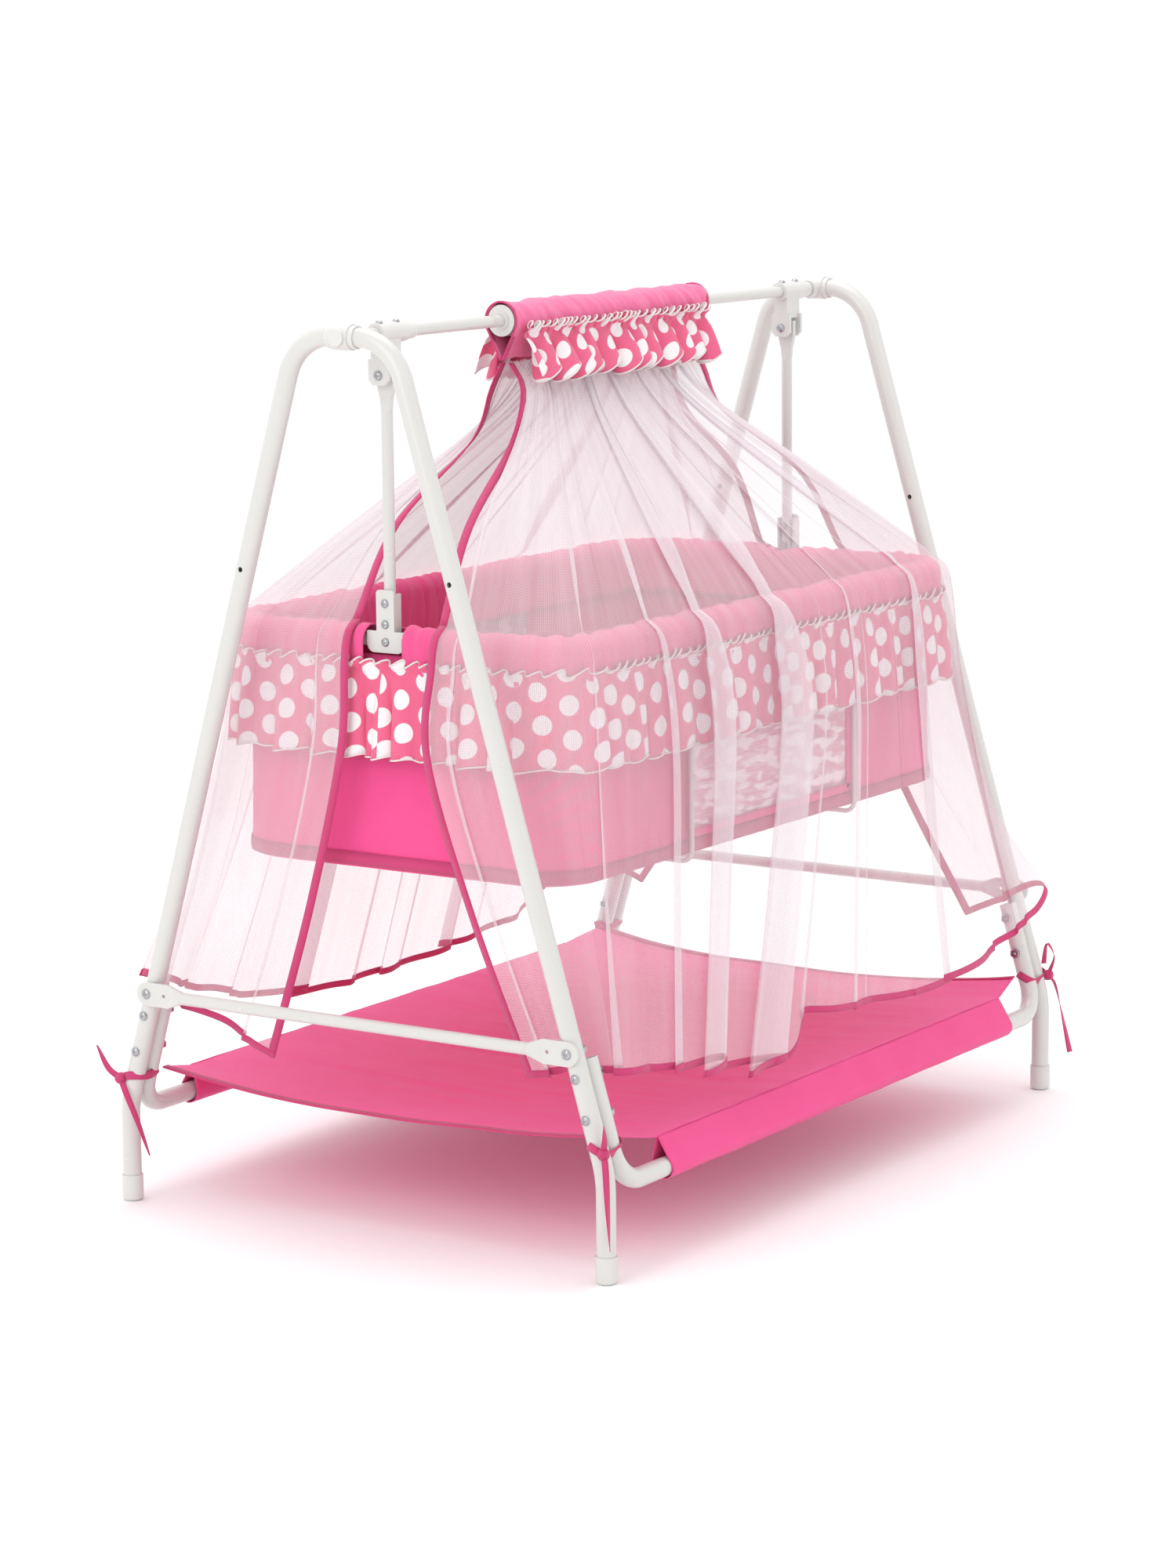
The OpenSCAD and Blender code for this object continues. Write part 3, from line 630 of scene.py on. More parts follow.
def rim_cover():
    """Padded band folded over the rail, with a gap at each hanger bracket."""
    over_r = 0.0145
    over = [(over_r * math.cos(a), over_r * math.sin(a)) for a in np.linspace(0, math.pi, 15)]
    # Each point of the section: distance out from the rail's centre line, and height.
    section = even_line([(0.0125, -0.034), (0.0140, -0.024), (0.0148, -0.012), *over,
                         (-0.0148, -0.014), (-0.0142, -0.028), (-0.0125, -0.044)], 34)
    count = 900
    points, normals = band_round_rail(section[:, 0], section[:, 1] + RAIL_Z, count)
    out = unit(section)
    turn = 2 * math.pi * np.arange(count) / count
    across = np.linspace(0, 1, len(section))
    unrolled = np.stack([np.tile(np.cos(turn), (len(section), 1)),
                         np.tile(np.sin(turn), (len(section), 1)),
                         np.tile(across[:, None], (1, count))], -1)
    crease = wrinkle(unrolled, (30, 30, 1.4), 4.2) + 0.5 * wrinkle(unrolled, (75, 75, 2.4), 9.1)
    gather, _ = folds(170, count, 3, closed=True)
    near_edges = np.abs(2 * across - 1) ** 3
    push = 0.0034 * crease + 0.0019 * np.outer(near_edges, gather)
    points[..., :2] += (out[:, :1] * push)[..., None] * normals[None]
    points[..., 2] += out[:, 1:] * push
    centres = (points[:-1] + points[1:]) / 2
    gap_half, gap_depth = 0.0245, 0.0075
    in_gap = ((np.abs(centres[..., 1]) < gap_half)
              & (np.abs(centres[..., 0]) > RAIL_X - gap_depth))
    cover = thicken(grid_object("rim_cover_padded", points, PUFFED, True, ~in_gap), 0.0016, -1)
    dress(cover, "cradle", "rim_cover")


def ruffle_rows(line, normals, along_line, rows, wave, lean):
    """Rows of a gathered strip; each row has its height, distance out, fold depth and lean."""
    return np.array([
        np.column_stack([line + normals * (out + deep * wave)[:, None]
                         + along_line * (side * lean)[:, None], high + rise * lean])
        for high, out, deep, side, rise in rows])


def ruffle_piece(name, body, points, closed, replaced):
    """The dotted strip with a thread overlocked along its two edges."""
    strip = thicken(grid_object(name, points, DOTTED, closed), 0.0007)
    dress(strip, body, replaced)
    for part, row in (("heading", points[0]), ("hem", points[-1])):
        thread = cord_mesh(f"{name}_{part}_thread", row, 0.0010, THREAD, closed)
        dress(thread, body)


def basket_ruffle():
    """Gathered strip sewn on under the rim cover: a small frilled heading, then the skirt."""
    count = 2200
    line, normals = rounded_loop(RAIL_X, RAIL_Y, CORNER_R, count)
    along_line = np.column_stack([-normals[:, 1], normals[:, 0]])
    waves = [np.array(folds(number, count, seed, closed=True))
             for number, seed in ((58, 11), (96, 12))]
    wave, lean = 0.72 * waves[0] + 0.38 * waves[1]
    frill, frill_lean = folds(150, count, 5, closed=True)
    slow, _ = folds(37, count, 6, closed=True)
    frill, frill_lean = frill * (0.80 + 0.30 * slow), frill_lean * (0.80 - 0.30 * slow)
    top = RAIL_Z - 0.019
    stitch_out, heading_h, skirt_h = 0.0156, 0.012, 0.086
    heading = ruffle_rows(line, normals, along_line, [
        (top, 0.0188, 0.0044, 0.0050, 0.0052), (top - 0.004, 0.0175, 0.0036, 0.0036, 0.0028),
        (top - 0.009, stitch_out, 0.0010, 0.0010, 0.0)], frill, frill_lean)
    skirt = ruffle_rows(line, normals, along_line, [
        (top - heading_h - skirt_h * t, stitch_out + 0.0065 * t ** 0.7,
         0.0012 + 0.0072 * t ** 0.6, 0.0098 * t ** 0.8, 0.0042 * t)
        for t in np.linspace(0, 1, 14)], wave, lean)
    ruffle_piece("basket_ruffle_gathered", "cradle", np.concatenate([heading, skirt]), True,
                 "basket_ruffle")


def basket_fabric():
    """The tub: walls with a window in each long side, rounded into a floor that sags a little."""
    count = 1200
    wall_out = 0.0030
    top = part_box("basket_fabric")[1].z
    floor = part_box("basket_fabric")[0].z
    window_low, window_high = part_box("window_mesh_front")[0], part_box("window_mesh_front")[1]
    heights = [top, 0.585, window_high.z, 0.55, 0.52, 0.49, 0.46, 0.43, 0.41, window_low.z,
               floor + 0.012, floor + 0.008, floor + 0.004, floor + 0.001, floor]
    offsets = [wall_out] * 11 + [0.0025, 0.0015, -0.001, -0.004]
    points, normals = band_round_rail(offsets, heights, count)
    loose = np.sin(np.clip((points[..., 2] - floor) / (top - floor), 0, 1) * math.pi)
    push = -0.0022 * loose + 0.0011 * wrinkle(points, (22, 22, 9), 1.7)
    points[..., :2] += push[..., None] * normals[None]
    inner = [points[-1] * (share, share, 1) for share in (0.97, 0.85, 0.6, 0.3, 0.02)]
    inner = np.array([row - (0, 0, 0.0012 * k / 4) for k, row in enumerate(inner)])
    points = np.concatenate([points, inner])
    centre = (points[:-1] + points[1:]) / 2
    right = np.roll(centre, -1, axis=1)
    x = (centre[..., 0] + right[..., 0]) / 2
    inside = (np.abs(x) < window_high.x) & (np.abs(centre[..., 1]) > RAIL_Y - 0.01)
    inside &= (centre[..., 2] > window_low.z) & (centre[..., 2] < window_high.z)
    tub = thicken(grid_object("basket_tub", points, PINK, True, ~inside), 0.0014, -1)
    dress(tub, "cradle", "basket_fabric")
    base_band, _ = band_round_rail([0.0036, 0.0042, 0.0036],
                                   [floor + 0.017, floor + 0.010, floor + 0.0035], 400)
    band = thicken(grid_object("basket_base_binding", base_band, BINDING, True), 0.0012)
    dress(band, "cradle")


def window_binding(name, low, high, side):
    """Narrow strips round the window's two sides and its lower edge."""
    out_y = side * (RAIL_Y + 0.0042)
    corners = [(low.x, high.z), (low.x, low.z), (high.x, low.z), (high.x, high.z)]
    strips = []
    for a, b in zip(corners, corners[1:]):
        line = even_line([(a[0], out_y, a[1]), (b[0], out_y, b[1])], 40)
        across = (1.0, 0, 0) if a[0] == b[0] else (0, 0, 1.0)
        strips.append(ribbon_strip("strip", line, across, 0.009, PINK, 0.0014))
    return dress(join(name, strips), "cradle")


def windows():
    """Mesh in each long side, sewn in behind its binding and bulging out a little."""
    for side, name in ((-1, "window_mesh_front"), (1, "window_mesh_back")):
        low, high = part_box(name)
        x, z = np.meshgrid(np.linspace(low.x, high.x, 60), np.linspace(high.z, low.z, 24))
        bulge = (np.sin((x - low.x) / (high.x - low.x) * math.pi)
                 * np.sin((z - low.z) / (high.z - low.z) * math.pi))
        y = side * (RAIL_Y + 0.0022 + 0.002 * bulge)
        mesh = grid_object(name + "_knitted", np.stack([x, y, z], -1), WINDOW)
        dress(mesh, "cradle", name)
        binding = window_binding(name + "_binding", low, high, side)


def mattress():
    """A thin pad: crowned top, bulging sides and a piped edge."""
    low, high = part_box("mattress")
    thick = high.z - low.z
    inset = -(RAIL_X - high.x)
    section = [(-0.004, 0.0), (0.0, 0.1), (0.002, 0.3), (0.0025, 0.5), (0.002, 0.7), (0.0, 0.9),
               (-0.004, 1.0), (-0.012, 1.06)]
    offsets = [inset + out for out, _ in section]
    heights = [low.z + share * thick for _, share in section]
    points, _ = band_round_rail(offsets, heights, 260)
    crown = [points[-1] * (share, share, 1) + (0, 0, 0.0035 * (1 - share))
             for share in np.linspace(0.93, 0.02, 16)]
    base = [points[0] * (share, share, 1) for share in (0.02, 0.5)]
    points = np.concatenate([base, points, np.array(crown)])
    points[..., 2] += 0.0012 * wrinkle(points, (18, 26, 1), 3.3) * (points[..., 2] > low.z + 0.01)
    pad = grid_object("mattress_pad", points, PRINT, closed=True)
    dress(pad, "cradle", "mattress")
    for part, share in (("top", 0.93), ("bottom", 0.08)):
        line, _ = band_round_rail([inset + 0.001], [low.z + share * thick], 260)
        piping = cord_mesh(f"mattress_piping_{part}", line[0], 0.0017, ROSE, True)
        dress(piping, "cradle")


# ---------- canopy ----------


def teardrop(radius, drop, pinch, count):
    """A loop of cloth round a roll, seen from its end: from the pinch below it, over the top
    and back to the pinch. The roll's centre is at the origin."""
    tangent = math.acos(radius / drop)
    start = -math.pi / 2 + tangent
    arc = np.linspace(start, math.pi - start, 60)
    points = [(pinch, -drop), *zip(radius * np.cos(arc), radius * np.sin(arc)), (-pinch, -drop)]
    return even_line(points, count)


def canopy_cover():
    """Cloth wrapped round the roll and sewn together below it, with a tape at each end."""
    section = teardrop(0.0190, 0.040, 0.0012, 90)
    x = np.linspace(-CANOPY_HALF, CANOPY_HALF, 190)
    points = np.array([[(at, y, BAR_Z + z) for at in x] for y, z in section])
    slant = points.copy()
    slant[..., 0] += 0.6 * points[..., 2]
    slack = 0.0022 * wrinkle(slant, (34, 60, 24), 2.5) + 0.0013 * wrinkle(slant, (95, 60, 30), 6.0)
    out = unit(section)
    points[..., 1] += out[:, :1] * slack
    points[..., 2] += out[:, 1:] * slack
    cover = thicken(grid_object("canopy_roll_cover", points, ROSE), 0.0012)
    dress(cover, "stand", "canopy_cover")
    for end, side_name in ((-1, "left"), (1, "right")):
        line = [(end * (CANOPY_HALF - 0.002), y, BAR_Z + z)
                for y, z in even_line(section * 1.03, 120)]
        tape = ribbon_strip(f"canopy_end_binding_{side_name}", np.array(line), (1.0, 0, 0),
                            0.006, BINDING, 0.0016)
        dress(tape, "stand")


def canopy_ruffles():
    count = 900
    for side, name, seed in ((-1, "canopy_ruffle_front", 21), (1, "canopy_ruffle_back", 22)):
        x = np.linspace(-CANOPY_HALF + 0.010, CANOPY_HALF - 0.012, count)
        line = np.column_stack([x, np.zeros(count)])
        normals = np.tile((0.0, side), (count, 1))
        along_line = np.tile((1.0, 0.0), (count, 1))
        wave, lean = folds(12, count, seed)
        frill, frill_lean = folds(30, count, seed + 10)
        top = BAR_Z - 0.005
        heading = ruffle_rows(line, normals, along_line, [
            (top, 0.0262, 0.0052, 0.0052, 0.0046), (top - 0.004, 0.0245, 0.0042, 0.0040, 0.0030),
            (top - 0.009, 0.0215, 0.0012, 0.0012, 0.0)], frill, frill_lean)
        skirt = ruffle_rows(line, normals, along_line, [
            (top - 0.012 - 0.040 * t, 0.0215 + 0.010 * t ** 0.8, 0.0010 + 0.0120 * t ** 0.6,
             0.0150 * t ** 0.8, 0.0105 * t) for t in np.linspace(0, 1, 16)], wave, lean)
        ruffle_piece(name + "_gathered", "stand", np.concatenate([heading, skirt]), False, name)


# ---------- nets ----------

NET_COLUMNS = 900
NET_FLAT_WIDTH = 1.35
NET_HALF_AT_CANOPY = 0.183
# How much one flat layer of net covers, and the row that lies on the rim.
NET_OPACITY = 0.37
SEAM_ROW = 34


def pleat_shifts(pleats, seed, fine_count):
    """Where the net doubles over itself: shifts along the curtain, and out from it, by column."""
    rng = np.random.default_rng(seed)
    s = np.linspace(0, 1, NET_COLUMNS)
    fine = [(at, rng.uniform(0.004, 0.006), rng.uniform(1.3, 2.4))
            for at in np.linspace(0.05, 0.95, fine_count) + rng.uniform(-0.02, 0.02, fine_count)]
    shift, out = np.zeros(NET_COLUMNS), np.zeros(NET_COLUMNS)
    for at, width, overlap in [*pleats, *fine]:
        t = (s - at) / width
        shift -= overlap * width * t * np.exp(-t * t)
        out += 0.15 * width * overlap * np.exp(-t * t)
    return shift, out


def net_rim(side, rim_start):
    """The curtain's line along the rim, by column, and the directions out from it."""
    loop, normals = rounded_loop(RAIL_X, RAIL_Y, CORNER_R, 4000)
    chosen = (loop[:, 1] * side > 0) & ((np.abs(loop[:, 0]) < RAIL_X - 0.001)
                                        | (np.abs(loop[:, 1]) > rim_start))
    order = slice(None) if side < 0 else slice(None, None, -1)
    line, normal = loop[chosen][order], normals[chosen][order]
    distance = along(line)
    wanted = np.linspace(0, distance[-1], NET_COLUMNS)
    return [np.stack([np.interp(wanted, distance, part[:, k]) for k in (0, 1)], 1)
            for part in (line, normal)]


def smooth_net(side, rim, out, hem):
    """Rows of a curtain with no folds: from the canopy, over the rim and down to the hem."""
    s = np.linspace(0, 1, NET_COLUMNS)
    near_ends = np.exp(-(s / 0.07) ** 2) + np.exp(-((1 - s) / 0.07) ** 2)
    top_x = np.interp(s, (0, 1), (-NET_HALF_AT_CANOPY, NET_HALF_AT_CANOPY))

    def ring(distance, height):
        return at_height(rim + out * distance, height)

    top, heading = (at_height(at_height(top_x, side * distance), height)
                    for distance, height in ((0.005, 0.8785), (0.020, 0.850)))
    over_rim = ring(0.004, RAIL_Z + 0.0205)
    rim_edge = ring(0.0190, RAIL_Z + 0.008)
    below_rim = ring(0.0260, RAIL_Z - 0.022)
    ruffle_hem = ring(0.0350, RAIL_Z - 0.112)
    shoulder = heading + 0.15 * (over_rim - heading)
    shoulder[:, 2] = 0.808 - 0.010 * near_ends
    tent = heading + (0.52 + 0.18 * near_ends)[:, None] * (over_rim - heading)
    tent[:, 2] = 0.730 - 0.008 * near_ends
    flare = 0.42 * hem + 0.58 * ruffle_hem
    flare[:, 2] -= 0.020
    upper = np.stack([smooth_line(stations, SEAM_ROW + 1)
                      for stations in zip(top, heading, shoulder, tent, over_rim)], 1)
    lower = np.stack([smooth_line(stations, 60) for stations in
                      zip(over_rim, rim_edge, below_rim, ruffle_hem, flare, hem)], 1)
    return np.concatenate([upper, lower[1:]])


def net_surface(side, rim_start, hem, hem_shares, seed, pleats):
    """Rows of one curtain from the canopy to its hem, and how many layers of net lie there."""
    s = np.linspace(0, 1, NET_COLUMNS)
    rim, out = net_rim(side, rim_start)
    hem = at_shares(smooth_line(hem, 400), np.interp(s, *hem_shares))
    base = smooth_net(side, rim, out, hem)
    v = along(base[:, NET_COLUMNS // 2])
    rim_v = v[SEAM_ROW]
    # How far each row hangs free below the rim, and how far it is above the rim.
    hanging = np.clip((v - rim_v - 0.03) / (v[-1] - rim_v - 0.03), 0, 1)
    tented = np.clip(1 - v / rim_v, 0, 1)
    free = 1 - 0.30 * np.exp(-((v - rim_v) / 0.05) ** 2)

    broad, broad_lean = folds(12, NET_COLUMNS, seed)
    light, _ = folds(20, NET_COLUMNS, seed + 1)
    fine, _ = folds(70, NET_COLUMNS, seed + 2)
    shift, lift = pleat_shifts(pleats, seed + 3, 15)
    ends = np.minimum(1, np.minimum(s, 1 - s) / 0.03)
    sideways = np.gradient(base, axis=1)
    sideways[..., 2] = 0
    width = np.linalg.norm(sideways, axis=2).mean(axis=1) * (NET_COLUMNS - 1)
    depth = (np.outer(0.0080 * hanging ** 0.8, broad * ends)
             + np.outer(0.0040 * 4 * tented * (1 - tented), light * ends)
             + np.outer(0.0016 * tented ** 2, fine * ends)
             + np.outer(width * free, lift * ends))
    lean = (np.outer(0.0070 * hanging ** 0.7, broad_lean * ends)
            + np.outer(width * free, shift * ends))
    outward = np.zeros_like(base)
    outward[..., :2] = out
    outward[:SEAM_ROW, :, 2] = 0.8
    points = base + unit(outward) * depth[..., None] + unit(sideways) * lean[..., None]
    arc = np.linalg.norm(np.diff(points, axis=1), axis=2).sum(axis=1)
    layers = np.tile(np.clip(NET_FLAT_WIDTH / arc, 0.9, 5)[:, None], (1, NET_COLUMNS))
    return points, layers


def net_part(name, points, layers):
    """One part of a curtain, with its cover stored at each point."""
    piece = grid_object(name, points, NET, flat_width=NET_FLAT_WIDTH)
    cover = 1 - (1 - NET_OPACITY) ** layers
    attribute = piece.data.attributes.new("cover", "FLOAT", "POINT")
    attribute.data.foreach_set("value", cover.ravel().astype(np.float32))
    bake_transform(piece)
    return piece


def strip_inside(points, width):
    """Points of a tape folded over the first column: a little outside it, to `width` inside."""
    wanted = np.array([-0.001, width / 2, width])
    rows = []
    for row in points:
        near = row[:60]
        distance = along(near)
        rows.append(np.stack([np.interp(wanted, distance, near[:, k]) for k in range(3)], 1))
    strip = np.array(rows)
    strip[:, 0] += 0.001 * unit(strip[:, 0] - strip[:, 1])
    return strip


def net_bindings(name, points, hem):
    """Tapes on both end edges, and along the hem of the hanging part."""
    tapes = {"left": strip_inside(points, 0.0080), "right": strip_inside(points[:, ::-1], 0.0080)}
    if hem:
        tapes["hem"] = strip_inside(np.swapaxes(points, 0, 1)[:, ::-1], 0.0065)
    made = []
    for edge, tape in tapes.items():
        piece = thicken(grid_object(f"{name}_tape_{edge}", tape, BINDING), 0.0012)
        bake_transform(piece)
        made.append(piece)
    return made


def curtain(name, side, rim_start, hem, hem_shares, seed, pleats):
    """A curtain in two parts, the tent part from the canopy to the rim and the hanging part below
    it, each with its tapes.
    """
    points, layers = net_surface(side, rim_start, hem, hem_shares, seed, pleats)
    # Each part: its rows, its blend, whether it has the hem, and its share of a rectangle.
    parts = {
        "tent": (slice(0, SEAM_ROW + 1), ("stand", "cradle", (0, 0, 0.87), (0, 0, 0.64)),
                 False, 0.72),
        "drop": (slice(SEAM_ROW, None), ("cradle", "stand", (0, 0, 0.55), (0, 0, -0.10)),
                 True, 1.0),
    }
    for part, (rows, blend_to, has_hem, cut_share) in parts.items():
        part_name = f"{name}_{part}"
        piece = net_part(part_name, points[rows], layers[rows])
        tapes = net_bindings(part_name, points[rows], has_hem)
        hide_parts(name)


def nets():
    # Each hem runs from its left end round the long side; it is lowest in the middle.
    front_hem = [(-0.424, -0.182, 0.186), (-0.424, -0.245, 0.200), (-0.402, -0.292, 0.200),
                 (-0.290, -0.305, 0.183), (-0.200, -0.305, 0.165), (-0.120, -0.308, 0.160),
                 (-0.090, -0.310, 0.198), (0.000, -0.315, 0.190), (0.150, -0.320, 0.182),
                 (0.300, -0.330, 0.200), (0.405, -0.336, 0.248), (0.424, -0.300, 0.245),
                 (0.424, -0.223, 0.206)]
    back_hem = [(-0.424, 0.139, 0.166), (-0.424, 0.210, 0.195), (-0.424, 0.262, 0.212),
                (-0.415, 0.320, 0.234), (-0.340, 0.322, 0.205), (-0.177, 0.305, 0.165),
                (0.071, 0.305, 0.160), (0.300, 0.312, 0.178), (0.405, 0.326, 0.225),
                (0.424, 0.290, 0.225), (0.424, 0.223, 0.200)]
    # Each pleat has its place along the curtain, its width and how far it doubles over.
    front_pleats = [(0.15, 0.014, 1.9), (0.25, 0.012, 2.3), (0.335, 0.044, 2.4),
                    (0.47, 0.048, 2.5), (0.62, 0.010, 2.2), (0.76, 0.024, 2.1),
                    (0.86, 0.012, 2.0)]
    back_pleats = [(0.13, 0.014, 1.9), (0.25, 0.012, 2.0), (0.40, 0.028, 2.2), (0.53, 0.014, 2.0),
                   (0.66, 0.030, 2.3), (0.82, 0.015, 2.0), (0.91, 0.012, 1.8)]
    # More of the front curtain hangs towards its left end: share of the rim, share of the hem.
    front_shares = ((0, 0.35, 0.50, 0.60, 1), (0, 0.225, 0.32, 0.46, 1))
    back_shares = ((0, 1), (0, 1))
    curtain("net_front", -1, 0.064, front_hem, front_shares, 31, front_pleats)
    curtain("net_back", 1, 0.036, back_hem, back_shares, 41, back_pleats)


# ---------- storage sheet and ties ----------


SHEET_Z = SIDE_RAIL_Z + 0.031
SEAM_Y = SIDE_RAIL_Y - 0.006


def storage_panel():
    """Rows of the sheet between the rails: its ends curve in, its middle sags, corners lift."""
    half_length, end_curve, middle_sag = 0.428, 0.010, 0.012
    grid_x, grid_y = np.meshgrid(np.linspace(-1, 1, 170), np.linspace(-1, 1, 120))
    corner = np.clip((np.abs(grid_x) - 0.86) / 0.14, 0, 1)
    x = grid_x * (half_length - end_curve * (1 - grid_y ** 2))
    y = grid_y * (SEAM_Y - 0.012 * corner)
    z = SHEET_Z - middle_sag * (1 - grid_y ** 2) * (1 - 0.3 * grid_x ** 2)
    z += 0.011 * corner * np.abs(grid_y) ** 3
    points = np.stack([x, y, z], -1)
    ripple = wrinkle(points, (30, 5, 1), 5.0) + 0.5 * wrinkle(points, (70, 12, 1), 8.0)
    points[..., 2] += 0.0026 * ripple * np.clip(1.05 - np.abs(grid_y), 0, 1) ** 0.3
    return points


def storage_sleeve(side, name):
    """The sheet's edge folded round a side rail and sewn to it along the seam."""
    rise = SHEET_Z - SIDE_RAIL_Z
    section = teardrop(0.0122, rise, 0.0006, 60) * (1, -1)
    lean = -side * (SIDE_RAIL_Y - SEAM_Y) / rise
    line_x = np.linspace(-0.365, 0.365, 150)
    loops = np.array([[(at, side * SIDE_RAIL_Y + a + lean * max(b, 0), SIDE_RAIL_Z + b)
                       for at in line_x] for a, b in section])
    loops[..., 1] += 0.0012 * wrinkle(loops, (24, 1, 30), 3.0 + side)
    sleeve = thicken(grid_object(f"storage_sleeve_{name}", loops, PINK), 0.0009)
    return dress(sleeve, "stand")


def storage_sheet():
    points = storage_panel()
    # The panel wears the brighter copy of the pink cloth, painted light against the shade under the
    # basket; its sleeves keep the plain pink.
    panel = thicken(grid_object("storage_sheet_panel", points, SHEET_PAINTED_LIGHT), 0.0009)
    dress(panel, "stand", "storage_sheet")
    sleeves = [storage_sleeve(-1, "front"), storage_sleeve(1, "back")]
    for end, name, column in ((-1, "left", 0), (1, "right", -1)):
        line = points[:, column] + (-end * 0.004, 0, 0.0004)
        hem = ribbon_strip(f"storage_hem_{name}", line, (1.0, 0, 0), 0.009, BINDING, 0.0018)
        dress(hem, "stand")


def tie_ring(half_pitch, radius, count):
    """An oval loop round two tubes that stand side by side."""
    right = [(half_pitch + radius * math.cos(a), radius * math.sin(a))
             for a in np.linspace(-math.pi / 2, math.pi / 2, 40)]
    left = [(-x, -y) for x, y in right]
    return even_line([*right, *left, right[0]], count)


LEG_LEAN = math.radians(16.5)
TUBE_HALF_PITCH = 0.01025
TIE_Y = 0.2917
TIE_Z = 0.136


def tie_knot(knot):
    """Three turns of ribbon, each at its own tilt."""
    wraps = []
    for k in range(3):
        turn = Matrix.Rotation(k * 1.1 + 0.4, 3, "Y") @ Matrix.Rotation(k * 0.8, 3, "Z")
        wrap = np.array([knot + turn @ Vector((0.0048 * math.cos(a), 0.0048 * math.sin(a), 0))
                         for a in np.linspace(0, 2 * math.pi, 30)])
        wraps.append(ribbon_strip("wrap", wrap, turn @ Vector((0, 0, 1)), 0.007, BINDING,
                                  0.0014))
    return wraps


def tie_tail(line, end):
    """A loose end: its ribbon twists slowly about its own line."""
    twist = np.linspace(0.3, 2.2, len(line))
    flat = np.column_stack([np.sin(twist) * end, np.cos(twist), np.zeros(len(line))])
    direction = unit(np.gradient(line, axis=0))
    flat -= direction * np.sum(flat * direction, 1)[:, None]
    return ribbon_strip("tail", line, unit(flat), 0.0065, BINDING)


def tie(name, end, side, tails):
    """A ribbon round a leg and the rail beside it, with a knot, a loop and two ends."""
    ring_and_knot_length = 0.12
    centre = Vector((end * (LEG_X - TUBE_HALF_PITCH), side * TIE_Y, TIE_Z))
    tilt = Matrix.Rotation(-side * LEG_LEAN, 3, "X")
    ring = tie_ring(TUBE_HALF_PITCH, 0.0112, 90)
    wobble = 0.0025 * np.sin(np.linspace(0, 2 * math.pi, 90) * 2)
    line = np.array([centre + tilt @ Vector((x, y, w)) for (x, y), w in zip(ring, wobble)])
    pieces = [ribbon_strip("ring", line, tilt @ Vector((0, 0, 1)), 0.009, BINDING)]
    knot = centre + Vector((end * 2 * TUBE_HALF_PITCH, side * 0.0125, -0.002))
    pieces += tie_knot(knot)
    length = ring_and_knot_length
    for tail in tails:
        route = [knot, *[knot + Vector((end * x, side * y, z)) for x, y, z in tail]]
        line = smooth_line(route, 60)
        length += along(line)[-1]
        pieces.append(tie_tail(line, end))
    ribbon = dress(join(name + "_ribbon", pieces), "stand", name)


def ties():
    # Each tail is a short route from the knot: out from the end, out from the side, and up.
    hanging = [(0.006, 0.006, -0.012), (0.009, 0.010, -0.050), (0.005, 0.010, -0.095)]
    inward = [(0.005, -0.010, -0.012), (0.007, -0.027, -0.042), (0.004, -0.040, -0.078)]
    outward = [(0.006, 0.006, -0.012), (0.008, 0.014, -0.045), (0.006, 0.026, -0.090)]
    stub = [(0.004, 0.004, 0.016), (0.002, 0.002, 0.030)]
    spread = [(0.003, 0.014, 0.010), (0.001, 0.030, 0.032)]
    loop = [(0.003, 0.006, 0.022), (0.004, -0.004, 0.036), (0.004, -0.008, 0.012)]
    tie("tie_left_front", -1, -1, [hanging, stub])
    tie("tie_left_back", -1, 1, [inward, spread])
    tie("tie_right_front", 1, -1, [outward, loop])
    tie("tie_right_back", 1, 1, [hanging, loop])


# ---------- camera, floor and light ----------


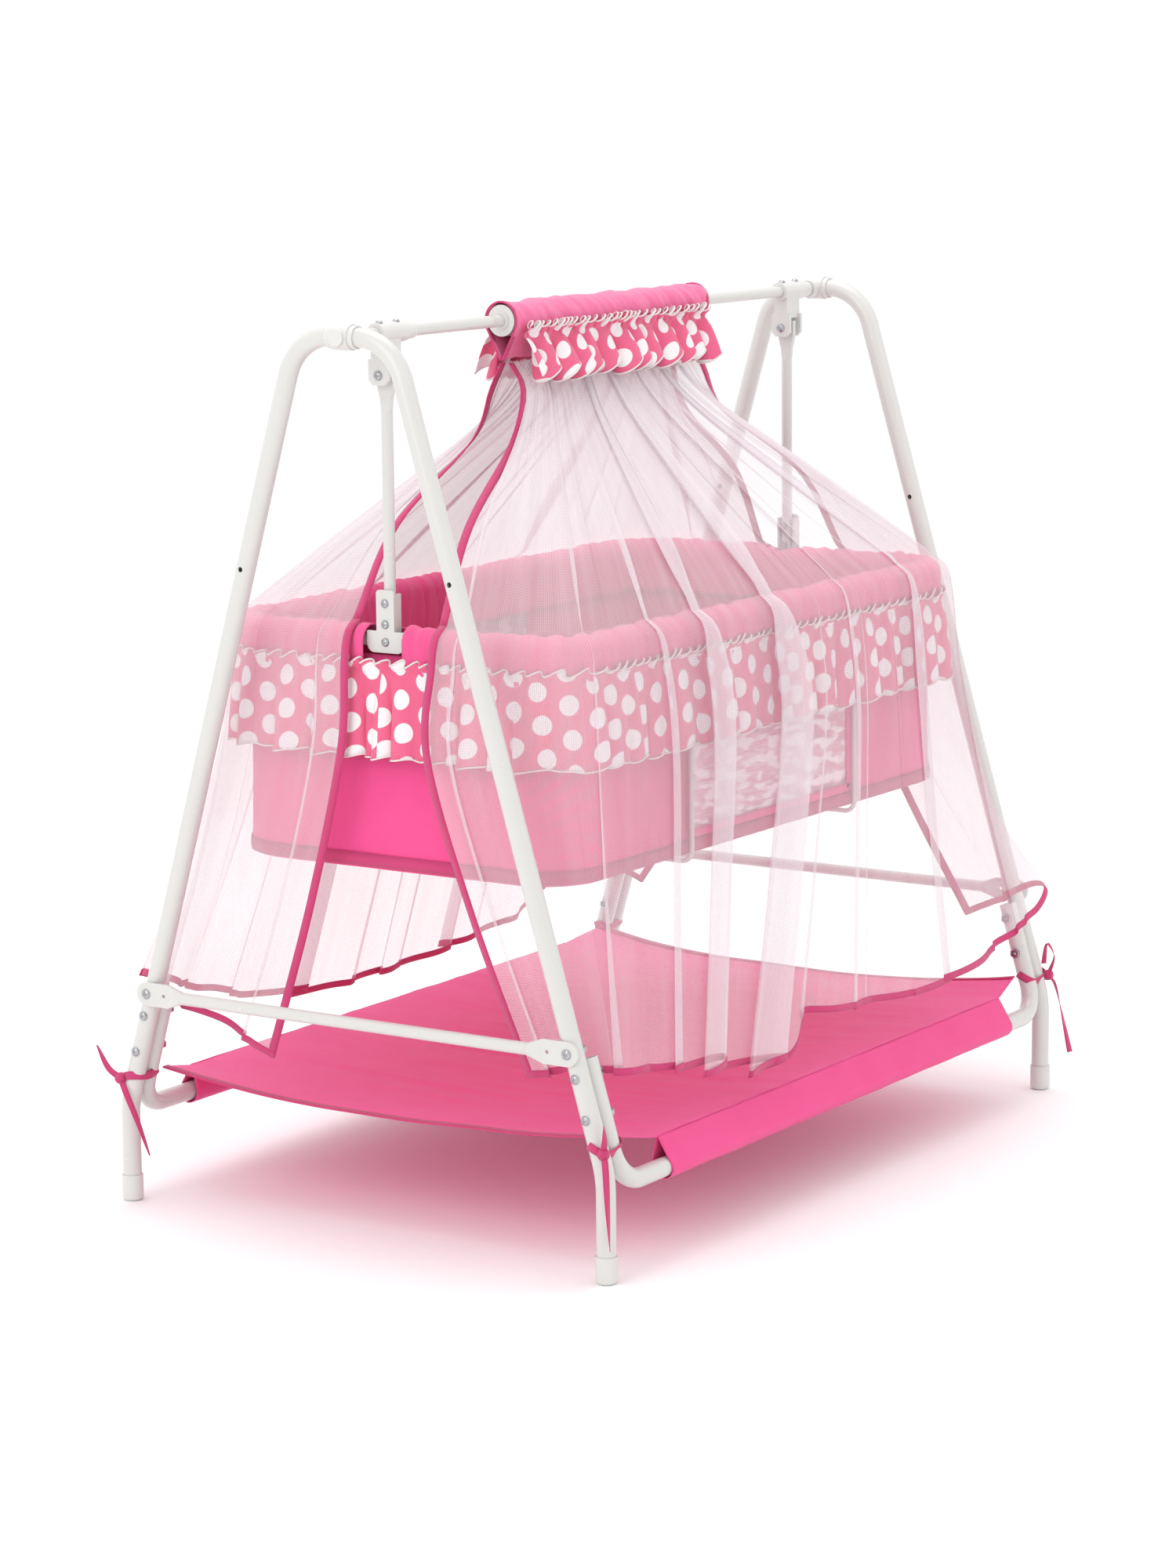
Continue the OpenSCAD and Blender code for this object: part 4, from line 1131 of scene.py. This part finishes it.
def add_camera():
    """The picture's view: a long lens from in front of the left end, turned a little."""
    azimuth, elevation, roll = (math.radians(a) for a in (-56.72, 9.87, -0.54))
    target, distance = Vector((0, 0, 0.5)), 4.667
    shift_right, shift_up = -0.0173, -0.0942
    back = Vector((math.sin(azimuth) * math.cos(elevation),
                   -math.cos(azimuth) * math.cos(elevation), math.sin(elevation)))
    level_right = Vector((math.cos(azimuth), math.sin(azimuth), 0))
    right = level_right * math.cos(roll) + back.cross(level_right) * math.sin(roll)
    up = back.cross(right)
    camera = add_object("camera", bpy.data.cameras.new("camera"))
    camera.data.lens = 97.8
    camera.data.sensor_width = 36
    camera.matrix_world = Matrix((right, up, back)).transposed().to_4x4()
    camera.location = target + back * distance + right * shift_right + up * shift_up
    bpy.context.scene.camera = camera


def area_light(name, place, size, power):
    light = add_object(name, bpy.data.lights.new(name, "AREA"))
    light.data.size = size
    light.data.energy = power
    light.location = place
    aim = Vector((0, 0, 0.5)) - Vector(place)
    light.rotation_euler = aim.to_track_quat("-Z", "Y").to_euler()


def add_studio():
    """A plain pale floor out to the horizon, an even white world and three soft lights."""
    half = 60
    corners = np.array([[(x, y, 0.0) for x in (-half, half)] for y in (-half, half)])
    material, tree, shader = new_material("pale_floor", 0.8)
    vary(tree, shader, (0.97, 0.97, 0.97), (0.95, 0.95, 0.95), 1.5)
    grid_object("floor", corners, material)
    world = bpy.data.worlds.new("studio")
    world.use_nodes = True
    background = world.node_tree.nodes["Background"]
    background.inputs["Color"].default_value = (1, 1, 1, 1)
    background.inputs["Strength"].default_value = 1.06
    bpy.context.scene.world = world
    area_light("key_light", (-3.2, 0.2, 1.9), 2.0, 20)
    area_light("top_light", (0.3, 0.4, 3.4), 2.4, 34)
    area_light("front_light", (0.8, -3.6, 2.0), 2.0, 5)
    bpy.context.scene.view_settings.view_transform = "Standard"


add_camera()
finish_cad_nodes()
all_screws()
rim_cover()
basket_fabric()
windows()
mattress()
basket_ruffle()
canopy_cover()
canopy_ruffles()
nets()
storage_sheet()
ties()
add_studio()
